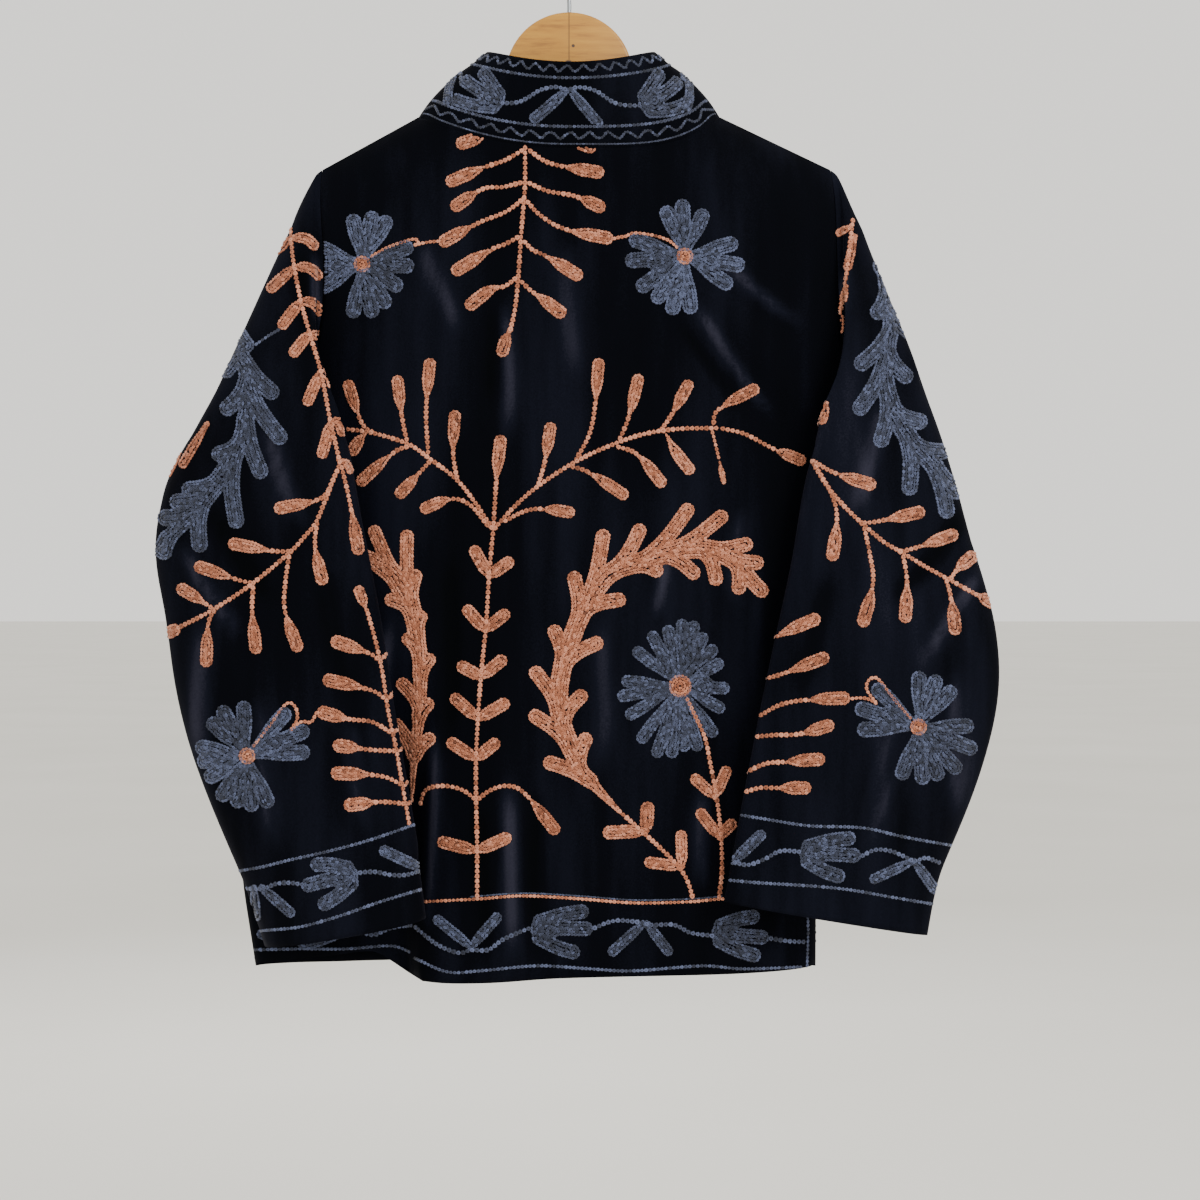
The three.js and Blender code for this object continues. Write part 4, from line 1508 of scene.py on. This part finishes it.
class LeftSleevePattern(Needlework):
    """Pattern of the sleeve on the wearer's left."""

    def sew(self) -> None:
        """Sew the garland, the leaf, the spray, the flower and the cuff."""
        self.copper.stem((291, 214), (291, 238), (294, 266), (301, 302), (310, 335), (321, 373), (330, 420), (340, 464))
        for root, left, right in (
            ((291, 238), (262, 261), (317, 249)),
            ((294, 267), (268, 291), (321, 279)),
            ((300, 301), (280, 328), (322, 315)),
            ((309, 333), (291, 356), (328, 352)),
            ((320, 372), (306, 405), (334, 390)),
            ((331, 421), (321, 458), (343, 436)),
        ):
            self.copper.leaf(root, left, width=12, root=0.5, full=0.4)
            bend = (0.5 * (root[0] + right[0]) + 2, 0.5 * (root[1] + right[1]) - 5)
            self.copper.leaf(root, bend, right, width=11, root=0.5, full=0.4)
        self.copper.leaf((339, 460), (346, 463), (351, 474), width=8, root=0.6)
        self.bud((341, 465), (347, 490), (351, 510), (359, 555), length=0.5)
        self._branch()
        self._slate_leaf()
        self._spray()
        self._cuff()

    def _branch(self) -> None:
        """Sew the branch of buds across the sleeve."""
        self.copper.stem(
            (340, 464), (332, 482), (317, 520), (304, 537), (290, 552), (253, 583), (214, 609), (180, 627)
        )
        self.bud((180, 627), (165, 635), length=0.95)
        for run, share in (
            (((330, 489), (317, 500), (275, 509)), 0.7),
            (((317, 521), (315, 547), (323, 584)), 0.6),
            (((291, 551), (273, 551), (229, 543)), 0.7),
            (((289, 554), (285, 585), (285, 612), (299, 652)), 0.42),
            (((253, 583), (238, 580), (194, 565)), 0.7),
            (((253, 585), (252, 612), (256, 653)), 0.6),
            (((213, 609), (203, 602), (177, 586)), 0.8),
            (((215, 609), (208, 625), (206, 666)), 0.72),
        ):
            self.bud(*run, length=share)
        self.copper.leaf((214, 384), (199, 416), width=9, root=0.5)
        self.copper.leaf((207, 424), (181, 467), width=10, root=0.6)
        self.copper.leaf((183, 446), (167, 477), width=8, root=0.5)

    def _slate_leaf(self) -> None:
        """Sew the slate leaf along the outer arm."""
        self.slate.stem((280, 329), (268, 336), (255, 345), gauge=FINE_STEM)
        self.lobed_leaf(
            self.slate,
            spine=(
                (240, 326), (241, 345), (245, 372), (247, 400), (243, 432), (234, 455), (220, 478), (203, 500),
                (180, 525), (158, 550),
            ),
            tips=(
                (252, 350), (277, 397), (284, 443), (263, 478), (237, 528), (200, 552), (163, 559), (222, 376),
                (222, 413), (212, 456), (182, 490), (170, 502), (158, 518),
            ),
            half_width=((0, 5), (0.2, 7), (0.45, 9), (0.65, 10), (0.85, 9), (1, 6)),
            lobe=17.0,
        )

    def _spray(self) -> None:
        """Sew the upright spray and the flower beside it."""
        self.copper.stem((367, 611), (375, 640), (382, 672), (388, 712), (396, 750), (402, 785), (409, 825))
        self.bud((368, 614), (364, 604), (357, 586), length=0.85, width=11)
        for run, share in (
            (((379, 660), (368, 653), (331, 640)), 0.72),
            (((385, 699), (370, 690), (323, 679)), 0.66),
            (((391, 733), (372, 722), (348, 719), (317, 711)), 0.42),
            (((396, 751), (372, 750), (333, 745)), 0.44),
            (((402, 785), (380, 776), (331, 773)), 0.56),
            (((405, 804), (380, 802), (344, 806)), 0.52),
        ):
            self.bud(*run, length=share, width=14)
        for root, tip in (
            ((380, 661), (390, 650)), ((387, 701), (396, 689)), ((392, 734), (402, 725)),
            ((397, 753), (405, 745)), ((403, 787), (411, 778)), ((406, 805), (415, 799)),
        ):
            self.copper.leaf(root, tip, width=5, root=0.7)
        self.flower(
            (247, 756),
            (
                ((243, 701), (220, 706), (208, 719)),
                ((195, 746), (197, 762), (205, 780)),
                ((219, 801), (236, 808), (252, 812), (270, 808)),
                ((289, 709), (309, 729), (310, 752)),
            ),
        )
        self.copper.stem((317, 711), (311, 722), (301, 722), (290, 731), gauge=FINE_STEM)
        self.copper.stem((290, 731), (297, 719), (295, 707), (286, 704), (270, 725), (253, 747), gauge=FINE_STEM)

    def _cuff(self) -> None:
        """Sew the border lines and the vine of the cuff."""
        self.rule((239, 871), (262, 867), (290, 860), (330, 851), (370, 840), (419, 823))
        self.rule((260, 931), (300, 927), (340, 916), (380, 902), (426, 888))
        self.blade((262, 888), (294, 916))
        self.blade((254, 888), (257, 920), width=10)
        self.vine((240, 888), (262, 889), (276, 884), (290, 883), (304, 885))
        self.tulip((357, 873), ((311, 865), (302, 887), (319, 907)))
        self.vine((357, 873), (375, 872), (390, 875), (406, 875), (422, 870))
        self.blade((422, 869), (380, 849), width=12)


class RightSleevePattern(Needlework):
    """Pattern of the sleeve on the wearer's right."""

    def sew(self) -> None:
        """Sew the garland, the leaf, the branch, the sprays, the flower and the cuff."""
        for root, tip, width in (
            ((851, 226), (837, 234), 8), ((855, 236), (847, 270), 9), ((846, 286), (843, 303), 8),
            ((841, 318), (835, 340), 12), ((834, 358), (829, 380), 11), ((826, 404), (821, 424), 11),
        ):
            self.copper.leaf(root, tip, width=width, root=0.6)
        self.copper.stem((853, 218), (850, 245), (845, 285), (838, 325), (829, 372), (820, 420), (810, 457))
        self.copper.stem(
            (810, 457), (825, 483), (844, 506), (864, 525), (884, 542), (903, 553), (926, 567), (950, 580), (977, 595)
        )
        self.bud((976, 594), (987, 600), (997, 606), length=0.9)
        for run, share in (
            (((812, 460), (835, 473), (876, 486)), 0.62),
            (((862, 523), (880, 521), (925, 511)), 0.66),
            (((900, 552), (918, 547), (958, 533)), 0.66),
            (((950, 580), (957, 570), (976, 553)), 0.75),
            (((815, 465), (832, 495), (837, 520), (832, 561)), 0.42),
            (((864, 526), (870, 555), (873, 584), (862, 627)), 0.42),
            (((903, 554), (907, 582), (905, 623)), 0.6),
            (((946, 579), (951, 598), (956, 635)), 0.64),
            (((774, 638), (790, 630), (820, 617)), 0.97),
            (((765, 679), (785, 673), (829, 656)), 0.68),
            (((758, 717), (780, 705), (806, 700), (850, 698)), 0.46),
            (((754, 737), (776, 735), (800, 734), (834, 724)), 0.42),
            (((745, 773), (765, 764), (783, 762), (825, 759)), 0.52),
            (((742, 793), (760, 788), (776, 788), (811, 788)), 0.5),
        ):
            self.bud(*run, length=share, width=13.5)
        self.lobed_leaf(
            self.slate,
            spine=(
                (881, 266), (885, 290), (889, 312), (889, 340), (885, 372), (889, 398), (898, 420), (912, 442),
                (932, 464), (957, 492),
            ),
            tips=(
                (884, 267), (873, 318), (856, 368), (856, 414), (879, 447), (909, 495), (948, 518), (914, 337),
                (911, 381), (927, 423), (949, 452), (961, 497),
            ),
            half_width=((0, 6), (0.2, 7), (0.45, 9), (0.65, 10), (0.85, 9), (1, 6)),
            lobe=17.0,
        )
        self.flower(
            (918.5, 727),
            (
                ((919, 671), (938, 675), (955, 687)),
                ((974, 726), (977, 751), (960, 773)),
                ((940, 781), (923, 785), (900, 780)),
                ((857, 730), (855, 707), (873, 685)),
            ),
        )
        self.copper.stem((850, 699), (859, 698), (868, 699), (877, 704), gauge=FINE_STEM)
        self.copper.stem((877, 704), (867, 690), (869, 680), (878, 679), (893, 698), (911, 719), gauge=FINE_STEM)
        self._cuff()

    def _cuff(self) -> None:
        """Sew the border lines and the vine of the cuff."""
        self.rule((740, 815), (770, 820), (810, 826), (863, 828), (904, 837), (954, 846))
        self.rule((726, 880), (760, 883), (810, 886), (850, 890), (890, 897), (938, 905))
        self.blade((734, 861), (764, 832), width=12)
        self.vine((733, 862), (748, 865), (765, 859), (781, 851), (801, 852))
        self.tulip((800, 853), ((855, 838), (860, 856), (844, 878)))
        self.vine((860, 857), (875, 850), (890, 851), (903, 856), (914, 861), (926, 858), (940, 863))
        self.blade((911, 862), (870, 881))
        self.blade((915, 862), (937, 893))


class FrontPattern(Needlework):
    """Pattern of one front panel; the other front has the same, turned over."""

    def _edge(self, top: float, foot: float, inset: float = 9.0) -> list[Point2]:
        """Follow the front's centre edge.

        Args:
            top: Chart place down at which it starts.
            foot: Chart place down at which it ends.
            inset: How far inside the edge it stays, in chart units.

        Returns:
            Chart places from top to foot.
        """
        line = []
        for v in np.linspace(top, foot, 24):
            u = next((u for u in np.arange(640, 480, -1.0) if self.bed.place(u, v) is not None), None)
            if u is not None:
                line.append((u - inset, float(v)))
        return line

    def sew(self) -> None:
        """Sew a trunk, branches, a leaf, two flowers and the hem band."""
        trunk = self._edge(505, 897, inset=54)
        self.copper.stem(*trunk)
        rows, columns = [v for _, v in trunk], [u for u, _ in trunk]
        top = columns[0]
        self.bud((top, 510), (top - 3, 480), (top - 1, 440), length=0.6)
        for v, reach in ((550, 24), (605, 25), (660, 25), (715, 27), (770, 27), (848, 33)):
            u = float(np.interp(v, rows, columns))
            self.pair((u, v), (u - reach, v - 22), (u + reach - 2, v - 22))
        self.copper.stem((top, 520), (480, 495), (450, 470), (415, 452), (380, 446), (350, 450))
        for run, share in (
            (((470, 487), (466, 460), (470, 420)), 0.6),
            (((440, 463), (436, 430), (440, 385)), 0.5),
            (((405, 449), (398, 425), (394, 385)), 0.6),
            (((468, 488), (445, 494), (415, 512)), 0.6),
            (((430, 458), (410, 472), (385, 492)), 0.6),
            (((392, 447), (375, 462), (352, 485)), 0.6),
        ):
            self.bud(*run, length=share)
        lean = min(0.0, columns[-1] - 500.0)
        self.copper.stem((469 + lean, 897), (462 + lean, 879))
        spine = ((462, 880), (448, 850), (430, 820), (420, 780), (420, 735), (430, 690), (425, 650), (400, 615))
        tips = (
            (452, 800), (448, 750), (455, 700), (452, 655), (438, 610), (405, 590), (380, 620), (396, 660),
            (398, 705), (392, 750), (396, 800),
        )
        self.lobed_leaf(
            self.copper,
            spine=[(u + lean, v) for u, v in spine],
            tips=[(u + lean, v) for u, v in tips],
            half_width=((0, 2), (0.25, 5), (0.5, 9), (0.8, 9), (1, 6)),
            lobe=15.0,
        )
        for centre, reach in (((405, 315), 57), ((345 + lean, 690), 55)):
            fans = [
                [
                    (centre[0] + reach * math.cos(turn), centre[1] + reach * math.sin(turn))
                    for turn in (math.radians(90 * quarter + 45 + side) for side in (-24, 0, 24))
                ]
                for quarter in range(4)
            ]
            self.flower(centre, fans)
        self.copper.stem((345 + lean, 702), (350 + lean, 760), (362 + lean, 830), (366 + lean, 897))
        self.pair((355 + lean, 790), (335 + lean, 768), (374 + lean, 766), width=12)
        self.rule(*self._edge(193, 964))
        self.rule((600, 897), (500, 898), (400, 898), (300, 897), (200, 895), copper=True)
        self.rule((600, 966), (500, 967), (400, 967), (300, 966), (200, 964))
        self.vine((600, 926), (572, 922), (548, 934), (524, 940), (500, 930))
        self.tulip((500, 930), ((446, 912), (441, 931), (453, 952)))
        self.vine((441, 931), (420, 922), (400, 924), (370, 924), (345, 934), (322, 935))
        self.blade((396, 925), (364, 955))
        self.blade((392, 925), (422, 955))
        self.tulip((322, 935), ((276, 917), (268, 938), (277, 957)))


class CollarPattern(Needlework):
    """Pattern of the collar: lines and zigzags along both edges, and a vine between them."""

    def sew(self) -> None:
        """Sew the borders, then the vine with its tulips and leaves."""
        first, last = -float(self.bed.run[-1]) + 3, -float(self.bed.run[0]) - 3
        for height, gauge in ((1.6, HAIR), (16.0, RULE), (56.5, RULE)):
            self.slate.row(np.stack([np.linspace(first, last, 330), np.full(330, height)], axis=1), gauge, 0.45)
        for height in (8.6, 64.2):
            along = np.linspace(first, last, 700)
            wave = np.sin(along * 2 * math.pi / 15.4) + 0.15 * np.sin(along * 0.9)
            self.slate.row(np.stack([along, height + 2.5 * wave], axis=1), ZIGZAG, 0.38)
        for middle in (4.0, 124.0, -120.0):
            self.blade((middle + 2, 45.5), (middle + 30, 19), width=9.5)
            self.blade((middle - 3, 45.5), (middle - 25, 16), width=9.5)
        for base, way in ((58.0, 1), (-55.0, -1), (158.0, 1), (-155.0, -1)):
            self.tulip((base, 30), [(base + way * x, z) for x, z in ((32, 54), (46, 43), (44, 24))], petal=11.5)
        for way in (1, -1):
            self.vine((4, 46), (4 + way * 10, 48.5), (4 + way * 24, 45), (4 + way * 40, 34), (way * 60, 30))
            self.vine((way * 104, 41), (way * 112, 46), (way * 122, 47))
            self.vine((way * 122, 47), (way * 132, 48), (way * 144, 40), (way * 158, 30))


# ---------------------------------------------------------------- jacket


@dataclass
class Jacket:
    """The velvet pieces and the needlework on them."""

    velvet: CottonVelvet = CottonVelvet()
    back: ClothPiece = field(
        default_factory=lambda: ClothPiece(
            "back",
            flat=(0.52, 0.72),
            area=0.34,
            fade=9.0,
            folds=creases(
                (
                    (-96, -300, -178, -410, 5, 2.2),
                    (-84, -318, -150, -396, 4, -1.6),
                    (-120, -262, -196, -330, 6, 2.0),
                    (52, -296, 50, -430, 7, 2.0),
                    (66, -300, 62, -400, 6, -1.4),
                    (54, -690, 40, -858, 7, 2.4),
                    (30, -700, 24, -858, 7, -2.0),
                    (70, -710, 72, -858, 8, -2.0),
                    (-78, -510, -74, -570, 5, 2.0),
                    (-108, -700, -112, -800, 7, 1.8),
                    (-140, -470, -136, -560, 6, 1.6),
                    (96, -500, 100, -690, 7, -1.8),
                    (110, -640, 116, -850, 5, 2.4),
                    (150, -560, 160, -700, 8, 2.2),
                    (-166, -690, -170, -850, 7, -1.8),
                    (-30, -560, -26, -700, 8, 1.5),
                    (0, -250, -4, -380, 9, 1.4),
                    (120, -250, 90, -340, 7, 1.6),
                )
            ),
        )
    )
    fronts: tuple[ClothPiece, ClothPiece] = field(
        default_factory=lambda: (
            ClothPiece(
                "front_left",
                flat=(0.29, 0.72),
                area=0.165,
                fade=9.0,
                folds=creases(
                    (
                        (60, -300, 130, -400, 6, -2.0),
                        (80, -560, 86, -700, 7, -2.0),
                        (120, -600, 132, -850, 8, 2.2),
                        (180, -520, 200, -700, 8, -2.0),
                        (40, -640, 44, -850, 6, 1.6),
                        (150, -360, 176, -470, 6, 1.8),
                    )
                ),
            ),
            ClothPiece(
                "front_right",
                flat=(0.26, 0.72),
                area=0.15,
                fade=9.0,
                folds=creases(
                    (
                        (-60, -300, -126, -396, 6, -2.0),
                        (-70, -540, -78, -700, 7, -2.0),
                        (-112, -620, -120, -850, 8, 2.2),
                        (-160, -500, -170, -700, 8, -1.8),
                        (-36, -660, -40, -850, 6, 1.6),
                        (-150, -350, -180, -450, 6, 1.8),
                    )
                ),
            ),
        )
    )
    sleeves: tuple[ClothPiece, ClothPiece] = field(
        default_factory=lambda: (
            ClothPiece(
                "sleeve_left",
                flat=(0.40, 0.60),
                area=0.18,
                # Painted light: the sleeves are set lighter than the back, as if better lit.
                painted_light=0.44,
                quad_pull=5.0,
                folds=creases(
                    (
                        (300, -470, 230, -560, 7, -2.4),
                        (320, -500, 260, -590, 6, 2.0),
                        (250, -400, 210, -500, 7, 1.8),
                        (300, -560, 300, -700, 9, 2.0),
                        (200, -520, 176, -640, 7, -1.8),
                        (250, -620, 236, -760, 8, 1.6),
                        (180, -640, 160, -740, 6, 1.6),
                        (212, -260, 204, -330, 4, 2.4),
                        (222, -262, 216, -340, 4, -2.0),
                    )
                ),
            ),
            ClothPiece(
                "sleeve_right",
                flat=(0.40, 0.60),
                area=0.175,
                # Painted light: set lighter still, as the best lit piece.
                painted_light=0.5,
                quad_pull=5.0,
                folds=creases(
                    (
                        (-330, -470, -262, -560, 7, -2.2),
                        (-346, -520, -282, -610, 6, 2.0),
                        (-262, -380, -228, -490, 7, 1.8),
                        (-320, -600, -312, -740, 9, 1.8),
                        (-210, -520, -190, -640, 7, -1.6),
                        (-262, -620, -250, -760, 8, 1.6),
                        (-228, -270, -222, -340, 4, 2.0),
                    )
                ),
            ),
        )
    )
    collar: ClothPiece = field(
        default_factory=lambda: ClothPiece(
            "collar", flat=(0.44, 0.08), area=None, folds=(), seam=(-142.0, 1.9)
        )
    )

    def build(self, nodes: dict[str, Mesh]) -> None:
        """Make every piece of cloth.

        Args:
            nodes: The solids by name.
        """
        finish = self.velvet.material()
        for piece in (self.back, *self.fronts, *self.sleeves, self.collar):
            piece.build(nodes[piece.node], finish)
            log.info("%s: cloth of %d faces", piece.node, len(piece.shell.data.polygons))

    def embroider(self) -> None:
        """Sew the patterns on both sides."""
        threads = {thread: thread.value.material() for thread in Thread}
        left, right = self.sleeves
        works: list[Needlework] = [
            BackPattern("stitches_back", FlatBed(self.back), 11),
            LeftSleevePattern("stitches_sleeve_left", FlatBed(left, shallow=0.05), 21),
            RightSleevePattern("stitches_sleeve_right", FlatBed(right), 31),
            CollarPattern("stitches_collar", CollarBed(self.collar), 41),
            FrontPattern("stitches_front_left", FlatBed(self.fronts[0], Face.FRONT), 51),
            FrontPattern("stitches_front_right", FlatBed(self.fronts[1], Face.FRONT, mirror=True), 61),
            LeftSleevePattern("stitches_sleeve_left_front", FlatBed(left, Face.FRONT, shallow=0.3), 71),
            RightSleevePattern("stitches_sleeve_right_front", FlatBed(right, Face.FRONT, shallow=0.3), 81),
        ]
        for work in works:
            work.sew()
            work.build(threads)


# ---------------------------------------------------------------- hanger


@dataclass
class Hanger:
    """Flat wooden hanger with a round head, sized in millimetres."""

    thickness: float = 11.0
    edge: float = 2.5
    head_radius: float = 53.0
    head_top: float = -60.0
    head_end: float = -0.3
    foot: float = 84.0
    reach: float = 187.0
    arm_height: float = 34.0
    end_cut: float = 12.0
    belly: float = 110.0
    finish: LacqueredBeech = LacqueredBeech()

    def _arm_top(self, x: float) -> float:
        """Height of an arm's upper edge."""
        return -147.0 - 12.0 - 44.0 / 80.0 * (x - 126.0)

    def _outline(self) -> list[Point2]:
        """Draw the outline of the plate, starting on the right of the head.

        Returns:
            Places across and up, in millimetres.
        """

        def bend(a: Point2, b: Point2, c: Point2, count: int = 18) -> list[Point2]:
            """Bend a line from a to c towards b.

            Args:
                a: Start, which is left out.
                b: Place that pulls it.
                c: End.
                count: How many points it gets.

            Returns:
                The points.
            """
            made = []
            for k in range(1, count + 1):
                t = k / count
                made.append(
                    tuple((1 - t) ** 2 * p + 2 * t * (1 - t) * q + t * t * r for p, q, r in zip(a, b, c))
                )
            return made

        radius = self.head_radius
        centre = self.head_top - radius
        arc = np.linspace(self.head_end, math.pi - self.head_end, 96)
        head = [(radius * math.cos(t), centre + radius * math.sin(t)) for t in arc]
        foot = (-self.foot, self._arm_top(self.foot))
        tip = (-self.reach - self.edge, self._arm_top(self.reach))
        cut = (-self.reach + self.end_cut, self._arm_top(self.reach) - 0.6 * self.arm_height - self.edge)
        low = (0.0, self._arm_top(60.0) - self.arm_height)
        half = bend(head[-1], (head[-1][0] - 4, foot[1] - 3), foot)
        half += [tip]
        half += bend(tip, (tip[0] - 2, cut[1] + 2), cut)
        half += bend(cut, (-self.belly, self._arm_top(self.belly) - self.arm_height), low)
        other = [(-x, z) for x, z in reversed(half[:-1])]
        return head + half + other

    def build(self) -> Mesh:
        """Model the plate: an outline, drawn out to its thickness, with rounded edges.

        Returns:
            The plate.
        """
        outline = self._outline()
        deselect_all()
        bpy.ops.mesh.primitive_circle_add(vertices=len(outline), radius=0.1, fill_type="NGON")
        plate = bpy.context.active_object
        plate.name = plate.data.name = "hanger_plate"
        for vertex, (x, z) in zip(plate.data.vertices, outline):
            vertex.co = (x * MM, -0.5 * self.thickness * MM, z * MM)
        bpy.ops.object.mode_set(mode="EDIT")
        bpy.ops.mesh.select_all(action="SELECT")
        bpy.ops.mesh.extrude_region_move(TRANSFORM_OT_translate={"value": (0, self.thickness * MM, 0)})
        bpy.ops.mesh.select_all(action="SELECT")
        bpy.ops.mesh.normals_make_consistent(inside=False)
        bpy.ops.object.mode_set(mode="OBJECT")
        bevel = plate.modifiers.new("edge", "BEVEL")
        bevel.width = self.edge * MM
        bevel.segments = 4
        bevel.limit_method = "ANGLE"
        bevel.angle_limit = math.radians(60)
        bpy.ops.object.modifier_apply(modifier=bevel.name)
        bpy.ops.object.shade_smooth_by_angle(angle=math.radians(35))
        plate.data.materials.append(self.finish.material())
        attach(plate, "root")
        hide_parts("hanger")
        return plate


@dataclass
class Hook:
    """Wire hook, sized in millimetres."""

    wire: float = 3.6
    radius: float = 19.0
    foot: float = -59.5
    turns: tuple[float, ...] = (-45, -20, 10, 40, 65, 90, 115, 140, 165, 190, 212)
    finish: DrawnSteel = DrawnSteel()

    def build(self) -> Mesh:
        """Model the wire along its route, with a rounded end.

        Returns:
            The hook.
        """
        centre = 0.5 * self.wire - self.radius
        route = [(0.0, self.foot), (0.0, self.foot + 8), (2.0, centre - self.radius - 4)]
        route += [
            (self.radius * math.cos(math.radians(t)), centre + self.radius * math.sin(math.radians(t)))
            for t in self.turns
        ]
        line = curve_through(route, 1.2)
        curve = bpy.data.curves.new("hook_wire", "CURVE")
        curve.dimensions = "3D"
        curve.bevel_depth = 0.5 * self.wire * MM
        curve.bevel_resolution = 5
        curve.use_fill_caps = True
        spline = curve.splines.new("POLY")
        spline.points.add(len(line) - 1)
        for knot, (x, z), k in zip(spline.points, line, range(len(line))):
            knot.co = (x * MM, 0, z * MM, 1)
            left = len(line) - 1 - k
            knot.radius = math.sqrt(1 - (1 - left / 2) ** 2) if left < 2 and left > 0 else (0.35 if left == 0 else 1)
        hook = bpy.data.objects.new("hook_wire", curve)
        bpy.context.scene.collection.objects.link(hook)
        deselect_all()
        hook.select_set(True)
        bpy.context.view_layer.objects.active = hook
        bpy.ops.object.convert(target="MESH")
        hook = bpy.context.active_object
        bpy.ops.object.shade_smooth_by_angle(angle=math.radians(40))
        hook.data.materials.append(self.finish.material())
        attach(hook, "root")
        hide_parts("hook")
        return hook


# ---------------------------------------------------------------- studio


@dataclass
class Studio:
    """Floor, light and camera, in metres."""

    floor_height: float = -1.32
    floor_size: float = 160.0
    lens: float = 68.2
    sensor: float = 36.0
    sky: str = "#EDEBE6"
    sky_strength: float = 1.55
    # name, place, power in watts, width
    lights: tuple[tuple[str, tuple[float, float, float], float, float], ...] = (
        ("key", (-1.6, 2.1, 0.7), 50, 1.4),
        ("fill", (1.9, 1.8, -0.1), 11, 1.8),
        ("back", (0.6, -2.4, 0.8), 34, 1.8),
    )

    def build(self) -> None:
        """Set up the room round the jacket."""
        deselect_all()
        bpy.ops.mesh.primitive_plane_add(size=self.floor_size, location=(0, 0, 0))
        floor = bpy.context.active_object
        floor.name = "floor"
        for vertex in floor.data.vertices:
            vertex.co.z = self.floor_height
        floor.data.materials.append(PaleFloor().material())
        world = bpy.data.worlds.new("pale room")
        world.use_nodes = True
        background = world.node_tree.nodes["Background"]
        background.inputs["Color"].default_value = linear(self.sky)
        background.inputs["Strength"].default_value = self.sky_strength
        bpy.context.scene.world = world
        for light in self.lights:
            self._light(*light)
        camera = bpy.data.objects.new("camera", bpy.data.cameras.new("camera"))
        camera.data.lens = self.lens
        camera.data.sensor_width = self.sensor
        camera.location = CHART.eye
        camera.rotation_euler = (math.radians(90), 0, math.radians(180))
        bpy.context.scene.collection.objects.link(camera)
        bpy.context.scene.camera = camera

    def _light(self, name: str, place: tuple[float, float, float], power: float, size: float) -> None:
        """Hang one soft square light that faces the jacket.

        Args:
            name: Name of the light.
            place: Where it hangs.
            power: Its power in watts.
            size: Its width.
        """
        lamp = bpy.data.lights.new(name, "AREA")
        lamp.energy = power
        lamp.size = size
        shade = bpy.data.objects.new(name, lamp)
        shade.location = place
        aim = Vector((0, 0, -0.5)) - Vector(place)
        shade.rotation_euler = aim.to_track_quat("-Z", "Y").to_euler()
        bpy.context.scene.collection.objects.link(shade)


def main() -> None:
    """Build the hanger, the cloth, the needlework and the studio."""
    logging.basicConfig(level=logging.INFO, format="%(message)s")
    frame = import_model()
    for sub_assembly in (Hanger(), Hook()):
        made = sub_assembly.build()
        log.info("%s: %d faces", made.name, len(made.data.polygons))
    jacket = Jacket()
    jacket.build(frame["nodes"])
    jacket.embroider()
    Studio().build()


if __name__ == "__main__":
    main()
